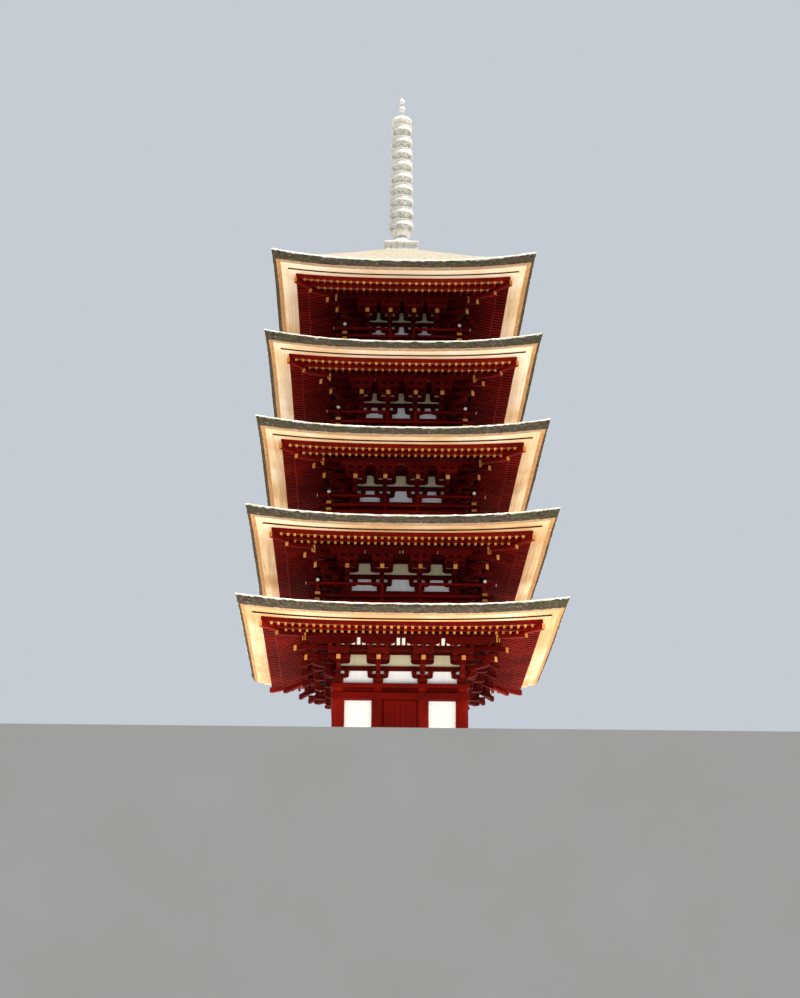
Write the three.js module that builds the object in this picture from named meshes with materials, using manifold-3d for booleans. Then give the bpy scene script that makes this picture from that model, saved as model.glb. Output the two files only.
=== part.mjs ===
// A very small five-storey timber pagoda with cypress bark roofs, painted
// vermilion, with white plaster panels and a bronze finial of nine rings.
// Millimetres, +Z up, the origin at ground level under the middle of the podium.

import * as THREE from 'three';
import { mergeVertices } from 'three/addons/utils/BufferGeometryUtils.js';
import Module from 'manifold-3d';

const wasm = await Module();
wasm.setup();

// General
const GAP = 0.3;
const WELD = 0.01;
const STOREYS = 5;
const QUARTER = Math.PI / 2;
// How far solids that are joined reach into each other, and cutters run past
const OVERLAP = 1;

// Podium and ground storey. Heights below are counted from the podium's top,
// where the columns stand, and PODIUM_HEIGHT is added once at the end.
const PODIUM_HEIGHT = 350;
const PODIUM_HALF = 1950;
const PODIUM_CAP_HEIGHT = 120;
const PODIUM_CAP_STEP = 60;

// Half the distance between the corner columns' centres, storey by storey
const BODY_HALF = [1225, 1080, 940, 835, 735];
// Half the distance between the two columns beside the door
const DOOR_COLUMN = [440, 381, 332, 285, 249];
// Half the width of each roof, at its corner tips
const ROOF_HALF = [3210, 3084, 2943, 2831, 2744];
// Top of the bark edge in the middle of each eave
const EAVE_TOP = [3171, 5024, 6934, 8840, 10695];
// Top of the head plate, on which the bracket sets stand
const BRACKET_BASE = [2144, 4073, 6022, 7914, 9818];
// Corner posts of the railings and their deck, for storeys two to five
const RAIL_HALF = [1661, 1472, 1312, 1205];
const DECK_TOP = [3655, 5605, 7500, 9490];
const RAIL_MIDDLE = [3805, 5776, 7660, 9644];
const RAIL_TOP = [4064, 5985, 7889, 9819];

// Ground storey timbers
const COLUMN_RADIUS = 125;
const COLUMN_SIDES = 12;
const BEAM_OUT = 150;
const BEAM_IN = 60;
const SILL_TOP = 280;
const LINTEL_BOTTOM = 1780;
const LINTEL_TOP = 1920;
const HEAD_PLATE_BOTTOM = 2020;
const HEAD_PLATE_IN = 80;
const TIE_HALF_THICK = 40;
const WALL_THICK = 70;
const WALL_GROOVE = 25;
const FLOOR_THICK = 80;
const HEART_RADIUS = 120;
const HEART_SIDES = 12;

// Door leaves of the ground storey
const JAMB_HALF = 312;
const JAMB_OUT = 60;
const LEAF_OUT = 65;
const LEAF_THICK = 40;
const LEAF_PIVOT = 315;
const LEAF_EDGE = 325;
const LEAF_MIDDLE_GAP = 3;
const LEAF_CLEAR = 10;
const PIN_RADIUS = 12;
const PIN_SIDES = 8;

// Upper walls: a plastered core with the timber frame standing before it
const CORE_IN = 50;
const CORE_OUT = 30;
const UPPER_COLUMN_HALF = 105;
const UPPER_TIE_OUT = 80;
const UPPER_LINTEL_BOTTOM = -330;
const UPPER_LINTEL_TOP = -210;
const UPPER_PLATE_BOTTOM = -118;
const UPPER_BEAM_OUT = 135;

// Bracket zone, heights counted from the top of the head plate. Between the
// columns the arms and ties leave a lower and an upper field of plaster, each
// narrow at the top: the margins are counted from the columns' centres.
const FIELDS = [
  { bottom: 0, step: 140, top: 268, wide: 93, narrow: 207 },
  { bottom: 364, step: 440, top: 600, wide: 50, narrow: 225 },
];
const SCREEN_TOP = 690;
const SCREEN_OUT = 75;
const SCREEN_IN_PLATE = 20;
// Share of a narrow bay's foot width that its top keeps
const FIELD_TOP_SHARE = 1 / 3;

// Stepped arms with the tail rafter, seen from the side
const FIN_HALF = 45;
const FIN_ROOT = 70;
const FIRST_ARM_BOTTOM = 120;
const FIRST_ARM_OUT = 280;
const FIRST_ARM_NOSE = 200;
const SECOND_ARM_OUT = 510;
const TAIL_END_OUT = 750;
const TAIL_END_CENTRE = 340;
const TAIL_HALF_DEPTH = 45;
const TAIL_SLOPE = 0.36;

// Purlin under the rafters
const PURLIN_OUT = 680;
const PURLIN_HALF = 45;
const PURLIN_HEIGHT = 110;
const PURLIN_RUN_PAST = 60;
const PURLIN_END_DROP = 36;

// Eaves, as distances out from the column line and heights from the bark
// edge's top: two tiers of rafters, the batten on each, and the pale boards
const OVERHANG_LIFT_FROM = 680;
const CORNER_LIFT = 227;
const LIFT_ALONG_POWER = 2.6;
const LIFT_OUT_POWER = 2.2;
const BASE_RAFTER_END = 1230;
const BASE_RAFTER_SLOPE = 0.28;
const BASE_RAFTER_BOTTOM = -338;
const FLYING_RAFTER_START = -252;
const FLYING_RAFTER_END = 1485;
const FLYING_RAFTER_BOTTOM = -298;
const BOARD_END = 1810;
const INNER_BOARD_BOTTOM = -175;
const OUTER_BOARD_BOTTOM = -155;
const BOARD_TOP = -120;
const FLAT_OUT = 60;
const SLAB_THICK = 110;
const SLAB_INNER_MARGIN = 150;
const SIDE_STEPS = 6;
const SEAM_TURN = 1e-6;

// Bark roofs
const BARK_CUT_IN = 100;
const BARK_EDGE = 160;
const ROOF_HOLLOW = 0.7;
const ROOF_TOP_STEPS = 3;
const ROOF_HOLE_MARGIN = 10;
const TOP_ROOF_HOLLOW = 0.95;
const TOP_ROOF_STEPS = 3;
const TOP_ROOF_RISE_END = 12105;
const FINIAL_SEAT_HALF = 370;
const HEART_HOLE_HALF = 130;

// Railings
const DECK_THICK = 40;
const DECK_PAST = 60;
const TOP_RAIL_HALF = 32;
const TOP_RAIL_RUN_PAST = 240;
const FLAT_RAIL_HALF_WIDE = 50;
const FLAT_RAIL_HALF_HIGH = 28;
const FLAT_RAIL_RUN_PAST = 190;
const RAIL_POST_HALF = 30;

// Finial, radii and heights
const FINIAL_SIDES = 16;
const HOOP_SIDES = 8;
const SPINDLE_SIDES = 8;
const DEW_BASIN_HALF = 345;
const DEW_BASIN_LIP = 375;
const DEW_BASIN_LIP_HEIGHT = 45;
const DEW_BASIN_TOP = 12320;
const BOWL_RADIUS = 300;
const LOTUS_TOP = 12705;
// Radii of the bowl and the lotus on it, each with its height over the basin
const BOWL_AND_LOTUS = [
  [288, 40], [190, 150], [140, 215], [105, 245], [170, 315], [235, 385],
];
const RING_COUNT = 9;
const RING_SPACING = 300;
const RING_HEIGHT = 120;
const RING_RADIUS_LOW = 280;
const RING_RADIUS_HIGH = 236;
const RING_WALL = 28;
const SPINDLE_RADIUS = 55;
const SPINDLE_TOP = 15425;
const SPOKE_HALF = 14;
const CANOPY_SIDES = 8;
const CANOPY_RADIUS = 232;
// Canopy dome, stem, knob and jewel: radii and heights up to the tip
const CANOPY_AND_JEWEL = [
  [232, 15465],
  [186, 15545],
  [81, 15600],
  [32, 15620],
  [32, 15722],
  [78, 15800],
  [32, 15878],
  [32, 15938],
  [72, 15988],
  [43, 16046],
  [0, 16100],
];

// Materials

function stone() {
  return new THREE.MeshStandardMaterial({ color: 0x8d8a82, roughness: 0.9, metalness: 0 });
}

function vermilionTimber() {
  return new THREE.MeshStandardMaterial({ color: 0x98220f, roughness: 0.55, metalness: 0 });
}

function limePlaster() {
  return new THREE.MeshStandardMaterial({ color: 0xe9e5da, roughness: 0.85, metalness: 0 });
}

function cypressBark() {
  return new THREE.MeshStandardMaterial({ color: 0x5c4f41, roughness: 0.95, metalness: 0 });
}

function agedTimber() {
  return new THREE.MeshStandardMaterial({ color: 0x7a5c3c, roughness: 0.75, metalness: 0 });
}

function castBronze() {
  return new THREE.MeshStandardMaterial({ color: 0xc9c2ae, roughness: 0.45, metalness: 0.9 });
}

// Solids

function solid(geometry) {
  const bare = geometry.clone();
  bare.deleteAttribute('normal');
  bare.deleteAttribute('uv');
  const welded = mergeVertices(bare, WELD);
  return new wasm.Manifold(new wasm.Mesh({
    numProp: 3,
    vertProperties: new Float32Array(welded.attributes.position.array),
    triVerts: new Uint32Array(welded.index.array),
  }));
}

function join(geometries) {
  return geometries.map(solid).reduce((whole, next) => whole.add(next));
}

function piece(name, body, material) {
  const { vertProperties, triVerts } = body.asOriginal().simplify(WELD).getMesh();
  const geometry = new THREE.BufferGeometry();
  geometry.setAttribute('position', new THREE.BufferAttribute(vertProperties, 3));
  geometry.setIndex(new THREE.BufferAttribute(triVerts, 1));
  geometry.computeVertexNormals();
  const mesh = new THREE.Mesh(geometry, material);
  mesh.name = name;
  return mesh;
}

// A box from one corner to the other
function block(x0, x1, y0, y1, z0, z1) {
  const geometry = new THREE.BoxGeometry(x1 - x0, y1 - y0, z1 - z0);
  return geometry.translate((x0 + x1) / 2, (y0 + y1) / 2, (z0 + z1) / 2);
}

function squareBlock(half, z0, z1) {
  return block(-half, half, -half, half, z0, z1);
}

// An upright round post of several sides
function post(x, y, radius, z0, z1, sides) {
  const geometry = new THREE.CylinderGeometry(radius, radius, z1 - z0, sides);
  geometry.rotateY(Math.PI / sides);
  geometry.rotateX(QUARTER);
  return geometry.translate(x, y, (z0 + z1) / 2);
}

// Pieces made once for the front side, repeated on all four sides
function onFourSides(makeFront) {
  const all = [];
  for (let side = 0; side < 4; side += 1) {
    for (const geometry of makeFront()) {
      all.push(geometry.rotateZ(side * QUARTER));
    }
  }
  return all;
}

// A square beam running round all four sides, between two half-widths
function squareFrame(inner, outer, z0, z1) {
  return solid(squareBlock(outer, z0, z1))
    .subtract(solid(squareBlock(inner, z0 - OVERLAP, z1 + OVERLAP)));
}

// A closed outline of (half-width, height) points carried round a square plan.
// It is turned as a lathe body, then each circle is pressed out to a square,
// with steps that crowd towards the corners, and lifted by lift(half, along).
// The outline may run either way round: the order sets how the faces between
// two points are split, so rings that lie on each other run the same way there.
function squareRing(outline, lift) {
  const points = corners([...outline, outline[0]]);
  const geometry = new THREE.LatheGeometry(points, 4 * SIDE_STEPS);
  const position = geometry.attributes.position;
  for (let i = 0; i < position.count; i += 1) {
    const x = position.getX(i);
    const y = position.getZ(i);
    const half = Math.hypot(x, y);
    const angle = Math.atan2(x, -y) + QUARTER / 2;
    const side = Math.floor(angle / QUARTER + SEAM_TURN);
    const along = Math.sin(2 * (angle - (side + 0.5) * QUARTER));
    const place = new THREE.Vector3(along * half, -half, 0);
    place.applyAxisAngle(new THREE.Vector3(0, 0, 1), side * QUARTER);
    position.setXYZ(i, place.x, place.y, position.getY(i) + lift(half, Math.abs(along)));
  }
  return solid(THREE.ShapeUtils.isClockWise(points) ? geometry : turnedInsideOut(geometry));
}

function turnedInsideOut(geometry) {
  const index = geometry.index.array;
  for (let i = 0; i < index.length; i += 3) {
    [index[i], index[i + 1]] = [index[i + 1], index[i]];
  }
  return geometry;
}

function corners(pairs) {
  return pairs.map(([x, y]) => new THREE.Vector2(x, y));
}

// Corners of each eave sweep up, fading out towards the purlin
function eaveLift(storey) {
  const from = BODY_HALF[storey] + OVERHANG_LIFT_FROM;
  const reach = ROOF_HALF[storey] - from;
  return (half, along) => {
    const out = Math.max(0, (half - from) / reach);
    return CORNER_LIFT * along ** LIFT_ALONG_POWER * out ** LIFT_OUT_POWER;
  };
}

// Podium

function podium() {
  const low = PODIUM_HALF - PODIUM_CAP_STEP;
  const body = join([
    squareBlock(low, -PODIUM_HEIGHT, -PODIUM_CAP_HEIGHT),
    squareBlock(PODIUM_HALF, -PODIUM_CAP_HEIGHT, -GAP),
  ]);
  return piece('podium', body, stone());
}

function groundFloor() {
  const half = BODY_HALF[0] - COLUMN_RADIUS - GAP;
  const boards = solid(squareBlock(half, SILL_TOP - FLOOR_THICK, SILL_TOP));
  const hole = solid(post(0, 0, HEART_RADIUS + GAP, 0, LINTEL_BOTTOM, HEART_SIDES));
  return piece('ground_floor', boards.subtract(hole), agedTimber());
}

function heartPillar() {
  const body = solid(post(0, 0, HEART_RADIUS, 0, TOP_ROOF_RISE_END, HEART_SIDES));
  return piece('heart_pillar', body, agedTimber());
}

// Ground storey. A side is made facing the front and then turned.

// Beams of one side: sill, lintel beam and the tie behind it
function groundBeams(end) {
  const half = BODY_HALF[0];
  return [
    block(-end, end, -half - BEAM_OUT, -half + BEAM_IN, 0, SILL_TOP),
    block(-end, end, -half - BEAM_OUT, -half + BEAM_IN, LINTEL_BOTTOM, LINTEL_TOP),
    block(-end, end, -half - TIE_HALF_THICK, -half + TIE_HALF_THICK, LINTEL_TOP, HEAD_PLATE_BOTTOM),
  ];
}

function groundPosts(places) {
  const top = HEAD_PLATE_BOTTOM - GAP;
  return places.map((x) => post(x, -BODY_HALF[0], COLUMN_RADIUS, 0, top, COLUMN_SIDES));
}

// Thin jambs fill the way between each door post and the leaf
function doorJambs() {
  const half = BODY_HALF[0];
  const outer = DOOR_COLUMN[0];
  return [-1, 1].map((hand) => block(
    Math.min(hand * JAMB_HALF, hand * outer),
    Math.max(hand * JAMB_HALF, hand * outer),
    -half - JAMB_OUT,
    -half + TIE_HALF_THICK,
    SILL_TOP - OVERLAP,
    LINTEL_BOTTOM + OVERLAP,
  ));
}

// The L of plaster at one corner, in the quarter with x and y negative
function cornerWall(grow) {
  const half = BODY_HALF[0] + grow;
  const inner = BODY_HALF[0] - WALL_THICK - grow;
  const end = DOOR_COLUMN[0] + COLUMN_RADIUS - WALL_GROOVE - grow;
  const low = SILL_TOP + GAP - grow;
  const high = LINTEL_BOTTOM - GAP + grow;
  return join([
    block(-half, -end, -half, -inner, low, high),
    block(-half, -inner, -half, -end, low, high),
  ]);
}

function turnedSolid(body, turns) {
  return body.rotate([0, 0, turns * 90]);
}

function groundFrame(name, turns, hasCorners) {
  const half = BODY_HALF[0];
  const doorPosts = [-DOOR_COLUMN[0], DOOR_COLUMN[0]];
  const places = hasCorners ? [-half, ...doorPosts, half] : doorPosts;
  const end = hasCorners ? half + BEAM_OUT : half - COLUMN_RADIUS - GAP;
  const whole = join([...groundBeams(end), ...groundPosts(places), ...doorJambs()]);
  const grooved = [0, 1].reduce(
    (left, turn) => left.subtract(turnedSolid(cornerWall(GAP), turn)),
    whole,
  );
  return piece(name, turnedSolid(largest(grooved), turns), vermilionTimber());
}

// What the grooves cut loose inside the corner posts is taken away
function largest(body) {
  const parts = body.decompose();
  return parts.reduce((best, part) => (part.volume() > best.volume() ? part : best));
}

function groundFrames() {
  return [
    groundFrame('front_frame', 0, true),
    groundFrame('right_frame', 1, false),
    groundFrame('back_frame', 2, true),
    groundFrame('left_frame', 3, false),
  ];
}

function groundWalls() {
  const names = ['front_left_wall', 'front_right_wall', 'back_right_wall', 'back_left_wall'];
  return names.map((name, turn) => piece(name, turnedSolid(cornerWall(0), turn), limePlaster()));
}

// A leaf hangs on pins that reach up to the lintel and down to the sill
function doorLeaf(name, hand) {
  const near = LEAF_MIDDLE_GAP;
  const y = -BODY_HALF[0] - LEAF_OUT;
  const body = join([
    block(
      Math.min(hand * near, hand * LEAF_EDGE),
      Math.max(hand * near, hand * LEAF_EDGE),
      y - LEAF_THICK,
      y,
      SILL_TOP + LEAF_CLEAR,
      LINTEL_BOTTOM - LEAF_CLEAR,
    ),
    post(
      hand * LEAF_PIVOT,
      y - LEAF_THICK / 2,
      PIN_RADIUS,
      SILL_TOP + GAP,
      LINTEL_BOTTOM - GAP,
      PIN_SIDES,
    ),
  ]);
  return piece(name, body, vermilionTimber());
}

// The doors of the other sides are shut for good
function fixedDoor(name, turns) {
  const y = -BODY_HALF[0] - JAMB_OUT - GAP;
  const shut = block(
    -LEAF_EDGE,
    LEAF_EDGE,
    y - LEAF_THICK,
    y,
    SILL_TOP + GAP,
    LINTEL_BOTTOM - GAP,
  );
  return piece(name, turnedSolid(solid(shut), turns), vermilionTimber());
}

// Walls of the bracket zone and of the upper storeys

function coreFoot(storey) {
  return storey === 0 ? BRACKET_BASE[0] : slabTop(storey - 1);
}

function wallCore(storey) {
  const half = BODY_HALF[storey];
  const body = squareFrame(
    half - CORE_IN,
    half + CORE_OUT,
    coreFoot(storey) + GAP,
    slabBottom(storey) - GAP,
  );
  return piece(`storey_${storey + 1}_wall_core`, body, limePlaster());
}

// Bracket sets

// One side's arms, blocks and ties, as a plate pierced by its plaster fields
function bracketScreen(storey) {
  const half = BODY_HALF[storey];
  const base = BRACKET_BASE[storey];
  const columns = [-half, -DOOR_COLUMN[storey], DOOR_COLUMN[storey], half];
  const end = half + SCREEN_OUT;
  const front = -half - SCREEN_OUT;
  const back = -half - CORE_OUT - GAP;
  const plate = block(-end, end, front, back, base - SCREEN_IN_PLATE, base + SCREEN_TOP);
  const fields = [0, 1, 2].flatMap((bay) => FIELDS.map(
    (field) => plasterField(columns[bay], columns[bay + 1], field).translate(0, -half, base),
  ));
  return fields.map(solid).reduce((left, field) => left.subtract(field), solid(plate));
}

// Wide at the foot, then drawn in to a narrow upright top
function plasterField(left, right, field) {
  const foot = right - left - 2 * field.wide;
  const narrow = Math.min(field.narrow, field.wide + foot * FIELD_TOP_SHARE);
  const shape = new THREE.Shape(corners([
    [left + field.wide, field.bottom],
    [right - field.wide, field.bottom],
    [right - narrow, field.step],
    [right - narrow, field.top],
    [left + narrow, field.top],
    [left + narrow, field.step],
  ]));
  const geometry = new THREE.ExtrudeGeometry(shape, { depth: 2 * SCREEN_OUT, bevelEnabled: false });
  return geometry.rotateX(QUARTER);
}

function tailHeight(out) {
  return TAIL_END_CENTRE + (TAIL_END_OUT - out) * TAIL_SLOPE;
}

function purlinTop(storey) {
  return rafterBottom(storey, PURLIN_OUT + PURLIN_HALF) - GAP;
}

function purlinBottom(storey) {
  return purlinTop(storey) - PURLIN_HEIGHT;
}

// The arms step out, the tail rafter slants over them, and a short seat on its
// end carries the purlin. On the diagonal everything runs further out.
function bracketFin(storey, stretch) {
  const base = BRACKET_BASE[storey];
  const seatTop = purlinBottom(storey) - base;
  const outline = [
    [FIN_ROOT, FIRST_ARM_BOTTOM],
    [FIRST_ARM_OUT, FIRST_ARM_NOSE],
    [SECOND_ARM_OUT, tailHeight(SECOND_ARM_OUT) - TAIL_HALF_DEPTH],
    [TAIL_END_OUT, TAIL_END_CENTRE - TAIL_HALF_DEPTH],
    [TAIL_END_OUT, TAIL_END_CENTRE + TAIL_HALF_DEPTH],
    [PURLIN_OUT + PURLIN_HALF, seatTop],
    [PURLIN_OUT - PURLIN_HALF, seatTop],
    [FIN_ROOT, tailHeight(FIN_ROOT) + TAIL_HALF_DEPTH],
  ];
  const shape = new THREE.Shape(corners(outline.map(([out, z]) => [out * stretch, z])));
  const geometry = new THREE.ExtrudeGeometry(shape, { depth: 2 * FIN_HALF, bevelEnabled: false });
  geometry.translate(0, 0, -FIN_HALF);
  geometry.rotateX(QUARTER);
  geometry.rotateZ(-QUARTER);
  return geometry.translate(0, 0, base);
}

// Sets over the two door columns and the corner column of one side, with the
// diagonal set that runs out at the corner
function bracketSets(storey) {
  const half = BODY_HALF[storey];
  const door = DOOR_COLUMN[storey];
  const fins = onFourSides(() => [
    ...[-half, -door, door, half].map((x) => bracketFin(storey, 1).translate(x, -half, 0)),
    bracketFin(storey, Math.SQRT2).rotateZ(Math.PI / 4).translate(half, -half, 0),
  ]);
  const screen = bracketScreen(storey);
  const screens = [0, 1, 2, 3].map((turn) => turnedSolid(screen, turn));
  return screens.reduce((whole, next) => whole.add(next), join(fins));
}

// The purlins' ends cross and run on past the corners, cut down there to pass
// under the falling rafters
function purlins(storey) {
  const reach = BODY_HALF[storey] + PURLIN_OUT;
  const far = -reach - PURLIN_HALF;
  const near = -reach + PURLIN_HALF;
  const low = purlinBottom(storey);
  const high = purlinTop(storey);
  const run = reach + PURLIN_RUN_PAST;
  return onFourSides(() => [
    block(far, -far, far, near, low, high),
    block(-run, run, far, near, low, high - PURLIN_END_DROP),
  ]);
}

function groundHeadPlate() {
  const half = BODY_HALF[0];
  return squareFrame(half - HEAD_PLATE_IN, half + BEAM_OUT, HEAD_PLATE_BOTTOM, BRACKET_BASE[0]);
}

// Columns, lintel beam, recessed tie and head plate of an upper storey
function upperFrame(storey) {
  const half = BODY_HALF[storey];
  const base = BRACKET_BASE[storey];
  const inner = half + CORE_OUT + GAP;
  const outer = half + UPPER_BEAM_OUT;
  const foot = slabTop(storey - 1) + GAP;
  const low = base + UPPER_LINTEL_BOTTOM;
  const high = base + UPPER_LINTEL_TOP;
  const plate = base + UPPER_PLATE_BOTTOM;
  const wide = UPPER_COLUMN_HALF;
  const posts = join(onFourSides(() => [
    ...[-DOOR_COLUMN[storey], DOOR_COLUMN[storey]].map(
      (x) => block(x - wide, x + wide, -half - wide, -inner, foot, low),
    ),
    block(half - wide, half + wide, -half - wide, -inner, foot, low),
    block(inner, half + wide, -inner, -half + wide, foot, low),
  ]));
  return posts
    .add(squareFrame(inner, outer, low, high))
    .add(squareFrame(inner, half + UPPER_TIE_OUT, high, plate))
    .add(squareFrame(inner, outer, plate, base));
}

function bracketNode(storey) {
  const seat = storey === 0 ? groundHeadPlate() : upperFrame(storey);
  const body = seat.add(bracketSets(storey)).add(join(purlins(storey)));
  const name = storey === 0 ? 'storey_1_brackets' : `storey_${storey + 1}_frame`;
  return piece(name, body, vermilionTimber());
}

// Eaves

function rafterBottom(storey, out) {
  const rise = (BASE_RAFTER_END - out) * BASE_RAFTER_SLOPE;
  return EAVE_TOP[storey] + BASE_RAFTER_BOTTOM + rise;
}

function slabBottom(storey) {
  return rafterBottom(storey, FLAT_OUT);
}

function slabTop(storey) {
  return slabBottom(storey) + SLAB_THICK;
}

function slabInner(storey) {
  const above = Math.min(storey + 1, STOREYS - 1);
  return storey < STOREYS - 1 ? BODY_HALF[above] - SLAB_INNER_MARGIN : HEART_HOLE_HALF;
}

// The underside, from the wall out to the pale boards
function eavesUnderside(storey) {
  const half = BODY_HALF[storey];
  const top = EAVE_TOP[storey];
  return [
    [half + FLAT_OUT, slabBottom(storey)],
    [half + BASE_RAFTER_END, top + BASE_RAFTER_BOTTOM],
    [half + BASE_RAFTER_END, top + FLYING_RAFTER_START],
    [half + FLYING_RAFTER_END, top + FLYING_RAFTER_BOTTOM],
    [half + FLYING_RAFTER_END, top + INNER_BOARD_BOTTOM],
    [half + BOARD_END, top + OUTER_BOARD_BOTTOM],
  ];
}

// The upper side, from the pale boards back to the wall
function eavesTop(storey) {
  const half = BODY_HALF[storey];
  const top = EAVE_TOP[storey];
  return [
    [half + BOARD_END, top + BOARD_TOP],
    [half + BASE_RAFTER_END, top + BOARD_TOP],
    [half + FLAT_OUT, slabTop(storey)],
  ];
}

function eaves(storey) {
  const inner = slabInner(storey);
  const outline = [
    [inner, slabBottom(storey)],
    ...eavesUnderside(storey),
    ...eavesTop(storey),
    [inner, slabTop(storey)],
  ];
  const body = squareRing(outline, eaveLift(storey));
  return piece(`storey_${storey + 1}_eaves`, body, vermilionTimber());
}

// Bark roofs

function curvedTop(from, to, hollow, steps) {
  const points = [];
  for (let i = 0; i <= steps; i += 1) {
    const q = i / steps;
    const rise = hollow * q + (1 - hollow) * q * q;
    points.push([from[0] + (to[0] - from[0]) * q, from[1] + (to[1] - from[1]) * rise]);
  }
  return points;
}

function roofTop(storey) {
  const edge = [ROOF_HALF[storey], EAVE_TOP[storey]];
  if (storey === STOREYS - 1) {
    const seat = [FINIAL_SEAT_HALF, TOP_ROOF_RISE_END];
    return curvedTop(edge, seat, TOP_ROOF_HOLLOW, TOP_ROOF_STEPS);
  }
  const deck = [RAIL_HALF[storey] + DECK_PAST, DECK_TOP[storey] - DECK_THICK];
  return curvedTop(edge, deck, ROOF_HOLLOW, ROOF_TOP_STEPS);
}

function roofHole(storey) {
  if (storey === STOREYS - 1) {
    return HEART_HOLE_HALF;
  }
  return BODY_HALF[storey + 1] + UPPER_BEAM_OUT + ROOF_HOLE_MARGIN;
}

function barkRoof(storey) {
  const half = BODY_HALF[storey];
  const edge = EAVE_TOP[storey];
  const hole = roofHole(storey);
  const top = roofTop(storey);
  const boards = half + BOARD_END + GAP;
  const outline = [
    [ROOF_HALF[storey] - BARK_CUT_IN, edge - BARK_EDGE],
    [boards, edge - BARK_EDGE],
    [boards, edge + BOARD_TOP + GAP],
    [half + BASE_RAFTER_END, edge + BOARD_TOP + GAP],
    [half + FLAT_OUT, slabTop(storey) + GAP],
    [hole, slabTop(storey) + GAP],
    [hole, top[top.length - 1][1]],
    ...top.reverse(),
  ];
  return piece(`storey_${storey + 1}_roof`, squareRing(outline, eaveLift(storey)), cypressBark());
}

// Railings

// A square top rail over two flat ones, of which the lowest lies on the deck.
// All run on past the corners, and the top one leaves the middle bay open.
function railing(storey) {
  const i = storey - 1;
  const half = RAIL_HALF[i];
  const top = DECK_TOP[i];
  const inner = BODY_HALF[storey] + UPPER_BEAM_OUT + ROOF_HOLE_MARGIN;
  const door = DOOR_COLUMN[storey];
  const low = top + FLAT_RAIL_HALF_HIGH;
  const rail = (from, to, z, wide, high) => block(
    from,
    to,
    -half - wide,
    -half + wide,
    z - high,
    z + high,
  );
  const flatRail = (z) => rail(
    -half - FLAT_RAIL_RUN_PAST,
    half + FLAT_RAIL_RUN_PAST,
    z,
    FLAT_RAIL_HALF_WIDE,
    FLAT_RAIL_HALF_HIGH,
  );
  const topRail = (from, to) => rail(from, to, RAIL_TOP[i], TOP_RAIL_HALF, TOP_RAIL_HALF);
  const bars = onFourSides(() => [
    flatRail(low),
    flatRail(RAIL_MIDDLE[i]),
    topRail(-half - TOP_RAIL_RUN_PAST, -door),
    topRail(door, half + TOP_RAIL_RUN_PAST),
    ...[-door, door, half].map((x) => block(
      x - RAIL_POST_HALF,
      x + RAIL_POST_HALF,
      -half - RAIL_POST_HALF,
      -half + RAIL_POST_HALF,
      low,
      RAIL_TOP[i] + TOP_RAIL_HALF,
    )),
  ]);
  const deck = squareFrame(inner, half + DECK_PAST, top - DECK_THICK + GAP, top);
  return piece(`storey_${storey + 1}_railing`, deck.add(join(bars)), vermilionTimber());
}

// Finial

function turned(outline, sides) {
  const points = outline.map(([r, z]) => new THREE.Vector2(r, z));
  return new THREE.LatheGeometry(points, sides).rotateX(QUARTER);
}

function dewBasin() {
  const foot = TOP_ROOF_RISE_END + GAP;
  const lip = DEW_BASIN_TOP - DEW_BASIN_LIP_HEIGHT;
  const body = join([
    squareBlock(DEW_BASIN_HALF, foot, lip + OVERLAP),
    squareBlock(DEW_BASIN_LIP, lip, DEW_BASIN_TOP),
  ]);
  return piece('finial_basin', body, castBronze());
}

function bowlAndLotus() {
  const foot = DEW_BASIN_TOP + GAP;
  const body = solid(turned([
    [0, foot],
    [BOWL_RADIUS, foot],
    ...BOWL_AND_LOTUS.map(([radius, height]) => [radius, DEW_BASIN_TOP + height]),
    [0, LOTUS_TOP],
  ], FINIAL_SIDES));
  return piece('finial_bowl_and_lotus', body, castBronze());
}

function ringRadius(i) {
  return RING_RADIUS_LOW + ((RING_RADIUS_HIGH - RING_RADIUS_LOW) * i) / (RING_COUNT - 1);
}

function hoop(radius, z) {
  const low = z - RING_HEIGHT / 2;
  const high = z + RING_HEIGHT / 2;
  const inner = radius - RING_WALL;
  const outline = [[inner, low], [radius, low], [radius, high], [inner, high], [inner, low]];
  return turned(outline, HOOP_SIDES);
}

// Nine hoops, each held to the spindle by a bar, turned from ring to ring
function nineRings() {
  const foot = LOTUS_TOP + GAP;
  const parts = [turned([
    [0, foot],
    [SPINDLE_RADIUS, foot],
    [SPINDLE_RADIUS, SPINDLE_TOP],
    [0, SPINDLE_TOP],
  ], SPINDLE_SIDES)];
  for (let i = 0; i < RING_COUNT; i += 1) {
    const z = foot + RING_SPACING * (i + 0.5);
    const reach = ringRadius(i) - RING_WALL / 2;
    const bar = block(-reach, reach, -SPOKE_HALF, SPOKE_HALF, z - SPOKE_HALF, z + SPOKE_HALF);
    parts.push(hoop(ringRadius(i), z), bar.rotateZ(QUARTER * i));
  }
  return piece('finial_nine_rings', join(parts), castBronze());
}

function canopyAndJewel() {
  const foot = SPINDLE_TOP + GAP;
  const outline = [[0, foot], [CANOPY_RADIUS, foot], ...CANOPY_AND_JEWEL];
  return piece('finial_canopy_and_jewel', solid(turned(outline, CANOPY_SIDES)), castBronze());
}

// The whole pagoda

function pagoda() {
  const tower = new THREE.Group();
  tower.position.z = PODIUM_HEIGHT;
  tower.add(podium(), groundFloor(), heartPillar(), ...groundFrames(), ...groundWalls());
  tower.add(doorLeaf('left_door_leaf', -1), doorLeaf('right_door_leaf', 1));
  tower.add(fixedDoor('right_side_door', 1), fixedDoor('back_door', 2), fixedDoor('left_side_door', 3));
  for (let storey = 0; storey < STOREYS; storey += 1) {
    tower.add(wallCore(storey), bracketNode(storey), eaves(storey), barkRoof(storey));
    if (storey > 0) {
      tower.add(railing(storey));
    }
  }
  tower.add(dewBasin(), bowlAndLotus(), nineRings(), canopyAndJewel());
  return tower;
}

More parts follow.
